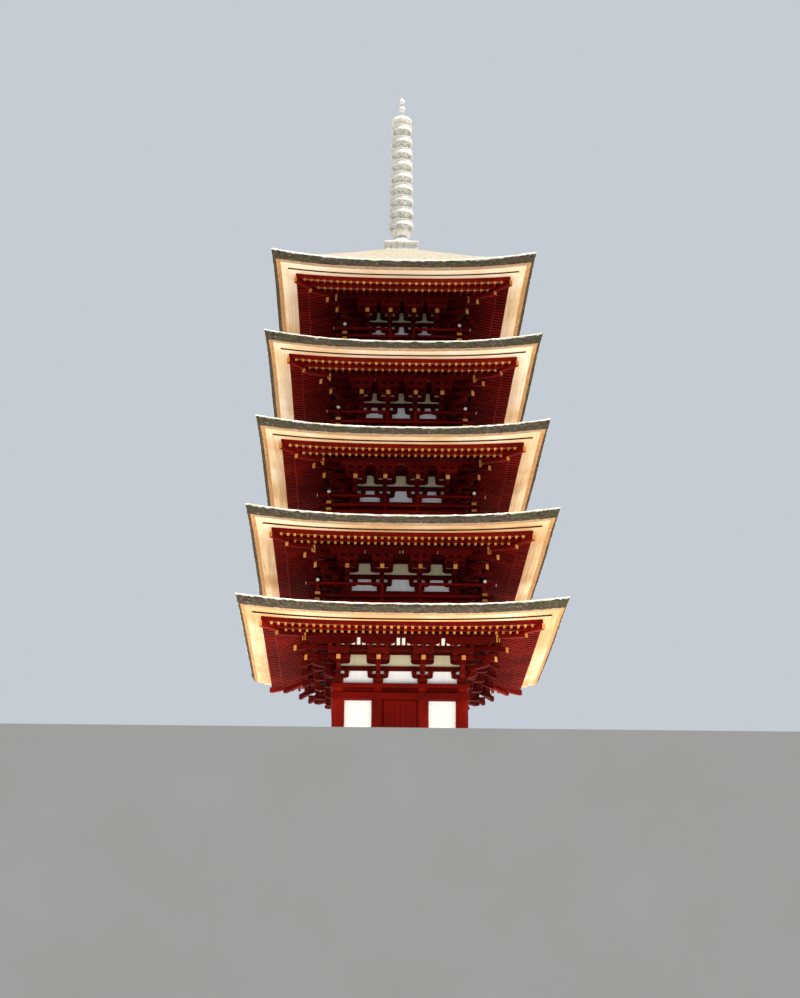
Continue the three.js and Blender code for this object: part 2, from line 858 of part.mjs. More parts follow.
const object = new THREE.Group();
object.add(pagoda());
export default object;
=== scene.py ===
"""A small five-storey timber pagoda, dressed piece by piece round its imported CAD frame."""

import bpy
import numpy as np
from mathutils import Matrix


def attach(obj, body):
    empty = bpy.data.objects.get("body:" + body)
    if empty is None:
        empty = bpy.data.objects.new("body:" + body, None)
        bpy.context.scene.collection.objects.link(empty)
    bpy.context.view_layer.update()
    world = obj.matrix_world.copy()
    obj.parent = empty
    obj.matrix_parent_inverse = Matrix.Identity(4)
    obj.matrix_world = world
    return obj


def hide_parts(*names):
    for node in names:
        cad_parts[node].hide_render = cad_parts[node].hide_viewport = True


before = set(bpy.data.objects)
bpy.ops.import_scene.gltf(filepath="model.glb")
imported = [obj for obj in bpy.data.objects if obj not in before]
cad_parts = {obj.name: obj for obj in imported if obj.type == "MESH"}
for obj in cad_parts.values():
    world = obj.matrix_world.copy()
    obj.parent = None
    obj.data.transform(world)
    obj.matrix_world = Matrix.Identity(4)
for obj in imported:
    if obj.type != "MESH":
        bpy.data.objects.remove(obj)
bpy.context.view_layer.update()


# Stone podium
#
# Two courses of dressed grey stones under a projecting cap of longer slabs,
# laid dry with fine open joints over a rubble core.

rng = np.random.default_rng(58)
QUARTER = np.pi / 2
ALONG_X, ALONG_Y, ALONG_Z = 0, 1, 2
AXES = np.eye(3)
SMOOTH_BELOW = np.radians(38)


def linear(colour):
    """sRGB hex to linear light: c / 12.92 up to 0.04045, else ((c + 0.055) / 1.055) ** 2.4."""
    srgb = np.array([int(colour[i:i + 2], 16) / 255 for i in (0, 2, 4)])
    light = np.where(srgb <= 0.04045, srgb / 12.92, ((srgb + 0.055) / 1.055) ** 2.4)
    return (*light.tolist(), 1.0)


def add(tree, kind, settings=None, links=None, out=0):
    """Adds one node and returns its output. A setting is a property, an input socket, or
    "stops", the (position, hex colour) pairs of a colour ramp. A link gives a socket its
    source."""
    node = tree.nodes.new("ShaderNode" + kind)

    def socket(key):
        if isinstance(key, int):
            return node.inputs[key]
        return next(s for s in node.inputs if s.enabled and s.name == key)

    for key, value in (settings or {}).items():
        if key == "stops":
            elements = node.color_ramp.elements
            for end in (0, -1):
                elements[end].position = value[end][0]
                elements[end].color = linear(value[end][1])
            for position, colour in value[1:-1]:
                elements.new(position).color = linear(colour)
        elif isinstance(key, str) and hasattr(node, key):
            setattr(node, key, value)
        else:
            socket(key).default_value = value
    for key, source in (links or {}).items():
        tree.links.new(source, socket(key))
    if isinstance(out, str):
        return node.outputs[out]
    return next((s for s in node.outputs if s.enabled), None)


def new_material(name, finish, *details, **more):
    """finish(tree, ...) adds the nodes and returns the shader's settings and its links."""
    material = bpy.data.materials.new(name)
    material.use_nodes = True
    tree = material.node_tree
    tree.nodes.clear()
    shader = add(tree, "BsdfPrincipled", *finish(tree, *details, **more))
    add(tree, "OutputMaterial", {}, {"Surface": shader})
    return material


def run_length(points):
    """Distance walked from the first point to each of the others."""
    return np.r_[0, np.cumsum(np.linalg.norm(np.diff(points, axis=0), axis=1))]


def signed_area(outline):
    """Half the sum of x[j] * y[j + 1] - x[j + 1] * y[j], positive if counter-clockwise."""
    x, y = outline.T
    return (x * np.roll(y, -1) - np.roll(x, -1) * y).sum() / 2


def skin(grid, uv, closed, inside_out, kind, cap_kind, cap_uv):
    """Quads over a grid of points that closes round its second index, and round its first
    where closed; elsewhere a flat cap shuts each end. uv has one more row and column."""
    steps, around = grid.shape[:2]
    i, j = np.meshgrid(np.arange(steps - (not closed)), np.arange(around), indexing="ij")
    i_next, j_next = (i + 1) % steps, (j + 1) % around
    quads = np.stack([i * around + j, i * around + j_next, i_next * around + j_next,
                      i_next * around + j], -1).reshape(-1, 4)
    corner_uv = np.stack([uv[i, j], uv[i, j + 1], uv[i + 1, j + 1], uv[i + 1, j]], -2)
    corner_uv = corner_uv.reshape(-1, 4, 2)
    kinds = np.broadcast_to(kind, i.shape).ravel()
    sizes = np.full(len(quads), 4)
    if inside_out:
        quads, corner_uv = quads[:, ::-1], corner_uv[:, ::-1]
    loops, uvs = quads.ravel(), corner_uv.reshape(-1, 2)
    if not closed:
        ring = np.arange(around)
        first, last = (ring, ring[::-1]) if inside_out else (ring[::-1], ring)
        loops = np.r_[loops, first, (steps - 1) * around + last]
        uvs = np.concatenate([uvs, cap_uv[first], cap_uv[last]])
        kinds = np.r_[kinds, np.broadcast_to(cap_kind, 2)]
        sizes = np.r_[sizes, around, around]
    return {"points": grid.reshape(-1, 3), "loops": loops, "sizes": sizes, "uv": uvs,
            "kind": kinds, "tone": np.zeros(len(sizes))}


def carried(profile, path, across, up, scale=1.0, kind=0, cap_kind=None):
    """A closed profile carried along a path: point (i, j) lies at
    path[i] + scale[i] * (profile[j].x * across[i] + profile[j].y * up[i])."""
    profile, path = np.asarray(profile, float), np.asarray(path, float)
    across, up = (np.broadcast_to(np.asarray(v, float), path.shape) for v in (across, up))
    scale = np.broadcast_to(np.asarray(scale, float), len(path))[:, None, None]
    spread = profile[None, :, :1] * across[:, None] + profile[None, :, 1:] * up[:, None]
    along = run_length(path)
    girth = run_length(np.concatenate([profile, profile[:1]]))
    uv = np.stack(np.meshgrid(np.r_[along, along[-1]], girth, indexing="ij"), -1)
    forward = np.dot(np.cross(across[0], up[0]), path[-1] - path[0])
    inside_out = signed_area(profile) * forward < 0
    end = kind if cap_kind is None else cap_kind
    return skin(path[:, None] + scale * spread, uv, False, inside_out, kind, end, profile)


def rectangle(wide, high, chamfer=0.0):
    """A centred rectangle, its corners cut off by the chamfer, counter-clockwise."""
    x, y, c = wide / 2, high / 2, chamfer
    if not c:
        return np.array([(-x, -y), (x, -y), (x, y), (-x, y)])
    return np.array([(c - x, -y), (x - c, -y), (x, c - y), (x, y - c),
                     (x - c, y), (c - x, y), (-x, y - c), (-x, c - y)])


def block(low, high, chamfer=0.0, grain=ALONG_X, kind=0, cap_kind=None):
    """A box between two corners with cut edges: a rectangle carried along the grain, drawn in
    by the chamfer over the first and last few millimetres."""
    low, high = np.asarray(low, float), np.asarray(high, float)
    first, second = [axis for axis in (ALONG_X, ALONG_Y, ALONG_Z) if axis != grain]
    size = high - low
    path = np.tile((low + high) / 2, (4 if chamfer else 2, 1))
    ends = np.array([low[grain], high[grain]])
    if chamfer:
        ends = np.array([ends[0], ends[0] + chamfer, ends[1] - chamfer, ends[1]])
    path[:, grain] = ends
    drawn_in = 1 - 2 * chamfer / min(size[first], size[second])
    scale = [drawn_in, 1, 1, drawn_in] if chamfer else 1.0
    profile = rectangle(size[first], size[second], chamfer)
    return carried(profile, path, AXES[first], AXES[second], scale, kind, cap_kind)


def joined(shapes):
    """Several shapes as one: their arrays end to end, with the point numbers shifted."""
    starts = np.cumsum([0] + [len(shape["points"]) for shape in shapes[:-1]])
    whole = {key: np.concatenate([shape[key] for shape in shapes])
             for key in ("points", "sizes", "uv", "kind", "tone")}
    whole["loops"] = np.concatenate([shape["loops"] + start
                                     for shape, start in zip(shapes, starts)])
    return whole


def toned(shapes):
    """Gives each shape one random tone, so that no two timbers or stones look alike."""
    return [shape | {"tone": np.full(len(shape["sizes"]), rng.random())} for shape in shapes]


def place(x=0.0, y=0.0, z=0.0, turn=0.0):
    """Turned about the upright axis, then shifted."""
    move = np.eye(4)
    move[:2, :2] = [[np.cos(turn), -np.sin(turn)], [np.sin(turn), np.cos(turn)]]
    move[:3, 3] = x, y, z
    return move


def copies(shape, moves):
    """The shape once for each move, every copy with its tones shifted by a random step."""
    moves = np.asarray(moves)
    count, length = len(moves), len(shape["points"])
    points = np.einsum("kab,nb->kna", moves[:, :3, :3], shape["points"]) + moves[:, None, :3, 3]
    tone = (shape["tone"][None] + rng.random((count, 1))) % 1
    return {"points": points.reshape(-1, 3),
            "loops": (shape["loops"][None] + length * np.arange(count)[:, None]).ravel(),
            "sizes": np.tile(shape["sizes"], count), "uv": np.tile(shape["uv"], (count, 1)),
            "kind": np.tile(shape["kind"], count), "tone": tone.ravel()}


def four_sides(shapes, step=0.0):
    """What was made for the front, turned round to all four sides. Timbers that cross at the
    corners get a small step in height from side to side, so that no two faces coincide."""
    turns = [place(z=step * (side % 2), turn=side * QUARTER) for side in range(4)]
    return copies(joined(shapes), turns)


def side_by_side(cuts, joint, low, high, edge, grain=ALONG_X):
    """A row of stones or boards along x between the cuts, with open joints. low and high are
    (y, z) of the row."""
    return [block((min(a, b) + joint, *low), (max(a, b) - joint, *high), edge, grain)
            for a, b in zip(cuts[:-1], cuts[1:])]


def make_piece(name, shapes, materials, body="tower", nodes=()):
    """Puts the shapes' arrays into a mesh, with the grain as UV map and the tone as
    attribute, and lets it ride on its body in place of its CAD nodes."""
    shape = joined(shapes)
    mesh = bpy.data.meshes.new(name)
    mesh.vertices.add(len(shape["points"]))
    mesh.vertices.foreach_set("co", shape["points"].ravel())
    mesh.loops.add(len(shape["loops"]))
    mesh.loops.foreach_set("vertex_index", shape["loops"].astype(np.int32))
    mesh.polygons.add(len(shape["sizes"]))
    starts = np.cumsum(shape["sizes"]) - shape["sizes"]
    mesh.polygons.foreach_set("loop_start", starts.astype(np.int32))
    mesh.polygons.foreach_set("material_index", shape["kind"].astype(np.int32))
    mesh.polygons.foreach_set("use_smooth", np.ones(len(starts), bool))
    mesh.update(calc_edges=True)
    mesh.uv_layers.new(name="grain").uv.foreach_set("vector", shape["uv"].ravel())
    mesh.attributes.new("tone", "FLOAT", "FACE").data.foreach_set("value", shape["tone"])
    mesh.set_sharp_from_angle(angle=SMOOTH_BELOW)
    for material in materials:
        mesh.materials.append(material)
    piece = bpy.data.objects.new(name, mesh)
    bpy.context.scene.collection.objects.link(piece)
    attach(piece, body)
    if nodes:
        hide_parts(*nodes)


def dress_storeys(part, shapes_of, materials, node=None, first=0):
    """Makes one piece for each storey from the first one up, in place of the storey's node
    of that name."""
    for storey in range(first, 5):
        nodes = [f"storey_{storey + 1}_{node}"] if node else []
        make_piece(f"storey_{storey + 1}_{part}", shapes_of(storey), materials, nodes=nodes)


def dressed_stone(tree):
    """Tooled granite: grey speckle of 6 mm grains, broad damp stains and a rough pecked face."""
    spot = add(tree, "TexCoord", out="Object")
    tone = add(tree, "Attribute", {"attribute_name": "tone"}, out="Fac")
    grains = add(tree, "TexNoise", {"Scale": 160.0, "Detail": 2.0}, {"Vector": spot})
    stains = add(tree, "TexNoise", {"Scale": 2.6, "Detail": 5.0}, {"Vector": spot})
    mixed = add(tree, "Math", {"operation": "MULTIPLY_ADD", 1: 0.45}, {0: grains, 2: stains})
    shaded = add(tree, "Math", {"operation": "MULTIPLY_ADD", 1: 0.35}, {0: tone, 2: mixed})
    colour = add(tree, "ValToRGB", {"stops": [(0.4, "4f4c45"), (0.75, "8a867b"), (1.0, "aca798")]},
                 {"Fac": shaded})
    bump = add(tree, "Bump", {"Strength": 0.5, "Distance": 0.004}, {"Height": mixed})
    return {"Roughness": 0.88, "IOR": 1.54}, {"Base Color": colour, "Normal": bump}


STONE = new_material("dressed_granite", dressed_stone)
# Each course: half-width, depth, foot and top, and the number of stones on a side
COURSES = [(1.89, 0.32, 0.0, 0.115, 7), (1.89, 0.32, 0.115, 0.23, 7),
           (1.95, 0.60, 0.23, 0.3497, 4)]
CORE_HALF, CORE_TOP = 1.8, 0.34
STONE_JOINT, STONE_EDGE, UNEVEN = 0.003, 0.007, 0.12


def stone_course(half, depth, foot, top, count):
    """Stones of unequal length along the front, up to where the next side's course begins."""
    far = half - depth
    cuts = np.linspace(-half, far, count + 1)
    cuts[1:-1] += rng.uniform(-UNEVEN, UNEVEN, count - 1) * (far + half) / count
    bed = foot + STONE_JOINT if foot else 0.0
    return toned(side_by_side(cuts, STONE_JOINT, (-half, bed), (-half + depth, top), STONE_EDGE))


podium = [four_sides(stone_course(*course)) for course in COURSES]
podium.append(block((-CORE_HALF, -CORE_HALF, 0.0), (CORE_HALF, CORE_HALF, CORE_TOP)))
make_piece("podium_stones", podium, [STONE], nodes=["podium"])


# Floor and heart pillar
#
# Wide planks of bare, darkened cypress at sill height, and the round pillar of
# the same wood that stands on the podium and runs up through all roofs.

HEART_RADIUS, HEART_FOOT, HEART_HEAD = 0.12, 0.35, 12.455
FLOOR_BOARD = 0.19


def aged_planks(tree):
    """Unpainted cypress gone brown, in planks 190 mm wide with dark open joints."""
    spot = add(tree, "TexCoord", out="Object")
    planks = add(tree, "TexBrick", {
        "offset": 0.37, "Scale": 1.0, "Brick Width": 1.7, "Row Height": FLOOR_BOARD,
        "Mortar Size": 0.004, "Bias": 0.0, "Color1": linear("6e5236"), "Color2": linear("8a6a46"),
        "Mortar": linear("1d140c")}, {"Vector": spot}, out="Color")
    stretched = add(tree, "Mapping", {"Scale": (2.0, 60.0, 60.0)}, {"Vector": spot})
    grain = add(tree, "TexNoise", {"Scale": 1.0, "Detail": 3.0}, {"Vector": stretched})
    colour = add(tree, "Mix", {"data_type": "RGBA", "blend_type": "OVERLAY", "Factor": 0.5},
                 {"A": planks, "B": grain})
    bump = add(tree, "Bump", {"Strength": 0.3, "Distance": 0.002}, {"Height": grain})
    return {"Roughness": 0.72, "IOR": 1.5}, {"Base Color": colour, "Normal": bump}


def dress_node(name, material):
    """Gives a CAD node that keeps its shape its finish."""
    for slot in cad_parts[name].material_slots:
        slot.material = material


CIRCLE_STEPS = 28


def circle(steps):
    """Unit circle, counter-clockwise."""
    angle = np.arange(steps) * 2 * np.pi / steps
    return np.stack([np.cos(angle), np.sin(angle)], -1)


def post(x, y, z0, z1, radius, steps=CIRCLE_STEPS):
    """A round upright timber: a circle carried straight up."""
    return carried(circle(steps) * radius, [(x, y, z0), (x, y, z1)], AXES[0], AXES[1])


AGED_TIMBER = new_material("aged_cypress_planks", aged_planks)
dress_node("ground_floor", AGED_TIMBER)
make_piece("round_heart_pillar", [post(0, 0, HEART_FOOT, HEART_HEAD, HEART_RADIUS)],
           [AGED_TIMBER], nodes=["heart_pillar"])


# Ground storey columns, beams and jambs
#
# Round cypress columns of 250 mm stand on the podium. Squared sill, lintel and
# tie beams grip them, and everything is painted vermilion over the planed wood.

BODY_HALF = [1.225, 1.080, 0.940, 0.835, 0.735]
DOOR_COLUMN = [0.440, 0.381, 0.332, 0.285, 0.249]
COLUMN_RADIUS = 0.125
COLUMN_FOOT, COLUMN_HEAD = 0.35, 2.3697
BEAM_IN, BEAM_OUT, BEAM_CHAMFER = 0.060, 0.150, 0.007
SILL, LINTEL, TIE = (0.350, 0.630), (2.130, 2.270), (2.268, 2.371)
TIE_HALF = 0.040
JAMB_HALF, JAMB_HEIGHTS = 0.312, (0.629, 2.131)
SQUARE = np.array([(-1.0, -1.0), (1.0, -1.0), (1.0, 1.0), (-1.0, 1.0)])


def painted(tree, colours, stops=(0.0, 0.5, 1.0), patch=1.6, grain=(1.4, 42.0), roughness=0.6):
    """Paint on planed timber, from a dark to a light colour: fibres 24 mm apart show as fine
    streaks along the grain UV, faded patches follow the object, and every timber has its own
    tone."""
    along = add(tree, "UVMap", {"uv_map": "grain"})
    tone = add(tree, "Attribute", {"attribute_name": "tone"}, out="Fac")
    shift = add(tree, "Math", {"operation": "MULTIPLY", 1: 37.0}, {0: tone})
    fibres = add(tree, "Mapping", {"Scale": (*grain, 1.0)}, {"Vector": along, "Location": shift})
    streaks = add(tree, "TexNoise", {"Scale": 1.0, "Detail": 3.0, "Roughness": 0.6},
                  {"Vector": fibres})
    spot = add(tree, "TexCoord", out="Object")
    patches = add(tree, "TexNoise", {"Scale": patch, "Detail": 4.0}, {"Vector": spot})
    both = add(tree, "Math", {"operation": "MULTIPLY_ADD", 1: 0.55}, {0: streaks, 2: patches})
    mixed = add(tree, "Math", {"operation": "MULTIPLY_ADD", 1: 0.28}, {0: tone, 2: both})
    level = add(tree, "MapRange", {"From Min": 0.62, "From Max": 1.2}, {"Value": mixed})
    colour = add(tree, "ValToRGB", {"stops": list(zip(stops, colours))}, {"Fac": level})
    dull = add(tree, "MapRange", {"To Min": roughness - 0.1, "To Max": roughness + 0.15},
               {"Value": streaks})
    bump = add(tree, "Bump", {"Strength": 0.25, "Distance": 0.002}, {"Height": streaks})
    return ({"IOR": 1.48, "Specular IOR Level": 0.05},
            {"Base Color": colour, "Roughness": dull, "Normal": bump})


# Iron-oxide vermilion in glue, sun-faded to a duller red where the tone is high
VERMILION = new_material("vermilion_paint", painted, ("540602", "6a0a03", "801607"))


def plan_ring(outline, plan, sweep=None, kind=0, capped=False, cap_kind=None):
    """An outline of (half-width, height) carried round a plan: point (k, p) lies at
    ((half[k] - pull) * plan[p].x, (half[k] - pull) * plan[p].y, z[k] + rise), where pull and
    rise come from sweep(half[k], along[p]) and along is 0 in the middle of a side and 1 at its
    corner. Capped, it is a body between two flat ends."""
    outline, plan = np.asarray(outline, float), np.asarray(plan, float)
    half, height = outline[:, :1], outline[:, 1:]
    along = np.abs(plan).min(1) / np.abs(plan).max(1)
    pull, rise = sweep(half, along[None]) if sweep else (0.0, np.zeros((1, len(plan))))
    grid = np.stack([(half - pull) * plan[:, 0], (half - pull) * plan[:, 1], height + rise], -1)
    ends = np.concatenate([plan, plan[:1]])
    walked = run_length(ends) * half.mean()
    climbed = run_length(np.concatenate([outline, outline[:1]]))
    uv = np.stack(np.meshgrid(walked, climbed, indexing="xy"), -1)
    inside_out = not capped and signed_area(outline) < 0
    return skin(grid, uv, not capped, inside_out, kind, kind if cap_kind is None else cap_kind,
                plan * half.mean())


def beam_ring(inner, outer, low, high, chamfer=BEAM_CHAMFER, kind=0):
    """A squared beam carried round all sides, between two half-widths and two heights."""
    centre = ((inner + outer) / 2, (low + high) / 2)
    return plan_ring(rectangle(outer - inner, high - low, chamfer) + centre, SQUARE, kind=kind)


def side_places(storey):
    """Column centres along one side, from left to right."""
    half, door = BODY_HALF[storey], DOOR_COLUMN[storey]
    return [-half, -door, door, half]


def round_columns(storey, foot, head, radius):
    """Columns of one storey: each side has its door columns and its right corner column."""
    return four_sides(toned([post(x, -BODY_HALF[storey], foot, head, radius)
                             for x in side_places(storey)[1:]]))


half = BODY_HALF[0]
jambs = four_sides([
    jamb for hand in (-1, 1)
    for jamb in side_by_side([hand * JAMB_HALF, hand * DOOR_COLUMN[0]], 0.0,
                             (-half - BEAM_IN, JAMB_HEIGHTS[0]),
                             (-half + TIE_HALF, JAMB_HEIGHTS[1]), 0.004, ALONG_Z)])
ground_timbers = [
    round_columns(0, COLUMN_FOOT, COLUMN_HEAD, COLUMN_RADIUS),
    beam_ring(half - BEAM_IN, half + BEAM_OUT, *SILL),
    beam_ring(half - BEAM_IN, half + BEAM_OUT, *LINTEL),
    beam_ring(half - TIE_HALF, half + TIE_HALF, *TIE, 0.0),
    jambs,
]
make_piece("ground_columns_and_beams", ground_timbers, [VERMILION],
           nodes=["front_frame", "right_frame", "back_frame", "left_frame"])


# Plaster panels
#
# White lime plaster on laths, trowelled flat between the timbers of the ground
# storey, where rain and hands have hardly stained it.

GROUND_WALLS = ["front_left_wall", "front_right_wall", "back_right_wall", "back_left_wall"]


def trowelled_plaster(tree, clean, stained):
    """Lime plaster: soft trowel waves about 0.2 m long and faint streaks running down."""
    spot = add(tree, "TexCoord", out="Object")
    waves = add(tree, "TexNoise", {"Scale": 5.0, "Detail": 5.0}, {"Vector": spot})
    drawn = add(tree, "Mapping", {"Scale": (9.0, 9.0, 0.8)}, {"Vector": spot})
    runs = add(tree, "TexNoise", {"Scale": 1.0, "Detail": 4.0}, {"Vector": drawn})
    mixed = add(tree, "Math", {"operation": "MULTIPLY_ADD", 1: 0.5}, {0: waves, 2: runs})
    level = add(tree, "MapRange", {"From Min": 0.4, "From Max": 1.0}, {"Value": mixed})
    colour = add(tree, "ValToRGB", {"stops": [(0.0, stained), (0.5, clean), (1.0, clean)]},
                 {"Fac": level})
    bump = add(tree, "Bump", {"Strength": 0.2, "Distance": 0.003}, {"Height": waves})
    return {"Roughness": 0.9, "IOR": 1.5}, {"Base Color": colour, "Normal": bump}


PLASTER = new_material("lime_plaster", trowelled_plaster, "f6f4f1", "e2dcd2")
for name in GROUND_WALLS:
    dress_node(name, PLASTER)


# Doors
#
# Each leaf is three upright boards painted vermilion, held by three battens on
# the back. The front pair turns on wooden pins; the other sides' are shut for good.

# Front, back, foot and head of a leaf that turns and of one that is shut for good
HUNG_LEAF = (-1.330, -1.290, 0.640, 2.120)
FIXED_LEAF = (-1.3253, -1.2853, 0.6303, 2.1297)
LEAF_MIDDLE, LEAF_EDGE = 0.003, 0.325
LEAF_BOARDS, BOARD_THICK, BOARD_JOINT, BOARD_EDGE = 3, 0.025, 0.0006, 0.003
BATTENS, BATTEN_HALF, BATTEN_ENDS = [0.85, 1.38, 1.91], 0.035, (0.015, 0.300)
PIN_AT, PIN_HEIGHTS, PIN_RADIUS = (0.315, -1.310), (0.6303, 2.1297), 0.012


def board_leaf(hand, front, back, foot, head):
    """Boards side by side from the middle to the hinge edge, with battens across the back."""
    cuts = np.linspace(LEAF_MIDDLE, LEAF_EDGE, LEAF_BOARDS + 1) * hand
    boards = side_by_side(cuts, BOARD_JOINT, (front, foot), (front + BOARD_THICK, head),
                          BOARD_EDGE, ALONG_Z)
    inner, outer = sorted(hand * end for end in BATTEN_ENDS)
    battens = toned([block((inner, front + BOARD_THICK, z - BATTEN_HALF),
                           (outer, back, z + BATTEN_HALF), BOARD_EDGE) for z in BATTENS])
    return boards + battens


for side, hand in (("left", -1), ("right", 1)):
    pin = post(hand * PIN_AT[0], PIN_AT[1], *PIN_HEIGHTS, PIN_RADIUS, 12)
    make_piece(f"{side}_board_leaf", board_leaf(hand, *HUNG_LEAF) + [pin], [VERMILION],
               body=f"{side}_leaf", nodes=[f"{side}_door_leaf"])

fixed_pair = joined(board_leaf(-1, *FIXED_LEAF) + board_leaf(1, *FIXED_LEAF))
for turn, name in ((1, "right_side_door"), (2, "back_door"), (3, "left_side_door")):
    make_piece(f"{name}_boards", [copies(fixed_pair, [place(turn=turn * QUARTER)])], [VERMILION],
               nodes=[name])


# Walls of the upper storeys
#
# A plastered core with round columns of 210 mm before it, gripped by a lintel
# beam, with a recessed tie and a head plate over it. Below the lintel the bays
# are closed with upright red boards. Over the head plate two fields show plaster.

EAVE_TOP = [3.521, 5.374, 7.284, 9.190, 11.045]
BRACKET_BASE = [2.456, 4.399, 6.348, 8.240, 10.144]
UPPER_COLUMN_RADIUS = 0.105
CORE_FACE = 0.0303
WALL_BOARD_FRONT, WALL_BOARD_WIDE = 0.055, 0.12
SLAB_TOP = 0.0999
# Heights from the head plate's top, on which the brackets stand
UPPER_COLUMN_TOP, WALL_BOARD_TOP = -0.119, -0.329
UPPER_LINTEL, UPPER_TIE, HEAD_PLATE = (-0.330, -0.210), (-0.211, -0.117), (-0.118, 0.0)
UPPER_BEAM_OUT, UPPER_TIE_OUT = 0.135, 0.080
FIELD_BACK, FIELD_FACE = 0.0005, 0.0035

# The fields between the two ties are painted ivory, darker and warmer: painted shade lit by warm
# light thrown back from the red and pale wood.
# Those below, like the wall cores, are painted a cool white: painted cool light from the sky.
SHADED_PLASTER = new_material("shaded_lime_plaster", trowelled_plaster, "f5f6f6", "dfe3e6")
WARM_SHADE_PLASTER = new_material("lime_plaster_painted_warm_shade", trowelled_plaster, "d2c9a8", "b9af8b")
LOWER_FIELD, UPPER_FIELD = (0.0, 0.268), (0.364, 0.600)
for storey in range(5):
    dress_node(f"storey_{storey + 1}_wall_core", SHADED_PLASTER)


def plaster_fields(storey):
    """The two strips of plaster that show between the bracket sets."""
    half, base = BODY_HALF[storey] + CORE_FACE, BRACKET_BASE[storey]
    return [beam_ring(half + FIELD_BACK, half + FIELD_FACE, base + low, base + high, 0.0, kind)
            for kind, (low, high) in enumerate((LOWER_FIELD, UPPER_FIELD))]


dress_storeys("plaster_fields", plaster_fields, [SHADED_PLASTER, WARM_SHADE_PLASTER])


def wall_boards(storey, foot, head):
    """Upright boards with open V joints, filling the bays between the columns."""
    half = BODY_HALF[storey]
    cuts = np.linspace(-half, half, int(2 * half / WALL_BOARD_WIDE) + 1)
    return toned(side_by_side(cuts, 0.001, (-half - WALL_BOARD_FRONT, foot),
                              (-half - CORE_FACE, head), 0.005, ALONG_Z))


def upper_wall(storey):
    """Columns, boards, lintel ring, recessed tie and head plate of one upper storey."""
    half, base = BODY_HALF[storey], BRACKET_BASE[storey]
    foot = EAVE_TOP[storey - 1] + SLAB_TOP
    inner = half + CORE_FACE
    rings = [(UPPER_BEAM_OUT, UPPER_LINTEL, BEAM_CHAMFER), (UPPER_TIE_OUT, UPPER_TIE, 0.0),
             (UPPER_BEAM_OUT, HEAD_PLATE, BEAM_CHAMFER)]
    return [
        round_columns(storey, foot, base + UPPER_COLUMN_TOP, UPPER_COLUMN_RADIUS),
        four_sides(wall_boards(storey, foot, base + WALL_BOARD_TOP)),
        *(beam_ring(inner, half + out, base + low, base + high, chamfer)
          for out, (low, high), chamfer in rings),
    ]


dress_storeys("columns_and_beams", upper_wall, [VERMILION], "frame", first=1)


# Bracket sets
#
# Over every column stands a bearing block, boat-shaped arms along the wall and
# outwards in two steps with small blocks on them, and a tail rafter that slants
# out over the second step to carry the purlin. Cut ends are painted ochre.

ARM_THICK = 0.085
ARM_ROOT, ARM_FACE = 0.015, 0.075
BEARING_WIDE, BEARING_HIGH, BLOCK_WIDE = 0.200, 0.120, 0.100
# (foot over the head plate, height) of the arms and blocks, from the wall outwards
FIRST_ARM, FIRST_BLOCK = (0.120, 0.080), (0.200, 0.068)
SECOND_ARM, SECOND_BLOCK = (0.268, 0.082), (0.350, 0.060)
WALL_ARM, WALL_BLOCK, PACKING_BLOCK = (0.410, 0.090), (0.500, 0.100), (0.364, 0.046)
STEP_WALL_ARM, STEP_TIE_FOOT, STEP_TIE_TOP = (0.410, 0.080), 0.582, 0.672
FIRST_REACH, SECOND_REACH = 0.280, 0.510
FIRST_STEP, SECOND_STEP, PURLIN_OUT = 0.227, 0.454, 0.680
BLOCK_OUT = 0.030
SHORT_REACH = 0.205
# How an arm's end turns up: (way back from the end, rise), both in arm heights
TURN_UP = [(0.0, 0.42), (0.30, 0.12), (0.80, 0.0)]
TAIL_START, TAIL_END, TAIL_SLOPE = 0.02, 0.750, 0.36
TAIL_CENTRE = [0.378, 0.340, 0.340, 0.340, 0.340]
TAIL_WIDE, TAIL_HIGH, TAIL_EDGE = 0.080, 0.090, 0.005
# The two tail rafters on the diagonal: distance out of the end and its height
DIAGONAL_TAILS, DIAGONAL_TAIL_HIGH = [(0.640, 0.378), (0.845, 0.514)], 0.105
PURLIN_BELOW_EAVE = 0.274
CROSSING_STEP = 0.0006
PAINT, OCHRE = 0, 1

# Under the eaves the red is painted darker: painted shade over the bracket zone, on paint that no
# sun has bleached
SHADED_VERMILION = new_material("vermilion_painted_shade", painted, ("3c0402", "4e0602", "620e05"))
# Ochre end paint: earth pigment, chalkier than the red
OCHRE_ENDS = new_material("ochre_end_paint", painted, ("a8672a", "c8853a", "dda35c"),
                          roughness=0.7)


def small_block(x, out, z, high, wide=BLOCK_WIDE):
    """A bearing block: square, its lower third hollowed in to a smaller foot."""
    path = [(x, -out, z + share * high) for share in (0.0, 0.14, 0.42, 1.0)]
    return carried(rectangle(wide, wide), path, AXES[0], AXES[1], [0.70, 0.76, 1.0, 1.0])


def boat(reach, high):
    """Side view of an arm that turns up at both ends: flat top and middle, curved corners."""
    left = [(-reach + back * high, rise * high) for back, rise in TURN_UP]
    right = [(-x, z) for x, z in reversed(left)]
    return np.array([(-reach, high), *left, *right, (reach, high)])


def wall_arm(root, face, reach, foot, high):
    """An arm along the wall: the boat carried through its thickness, from root to face."""
    path = [(0, -root, foot), (0, -face, foot)]
    return carried(boat(reach, high), path, AXES[0], AXES[2])


def step_arm(out, foot, high):
    """An arm straight out from the wall, curved up at its free end."""
    nose = [(out - back * high, rise * high) for back, rise in reversed(TURN_UP)]
    profile = [(0.0, high), (0.0, 0.0), *nose, (out, high)]
    path = [(-ARM_THICK / 2, 0, foot), (ARM_THICK / 2, 0, foot)]
    return carried(profile, path, -AXES[1], AXES[2])


def sawn_timber(path, wide, high, edge=0.0, across=AXES[0]):
    """A squared timber along a path from its hidden start to its ochre cut end."""
    return carried(rectangle(wide, high, edge), path, across, AXES[2], cap_kind=[PAINT, OCHRE])


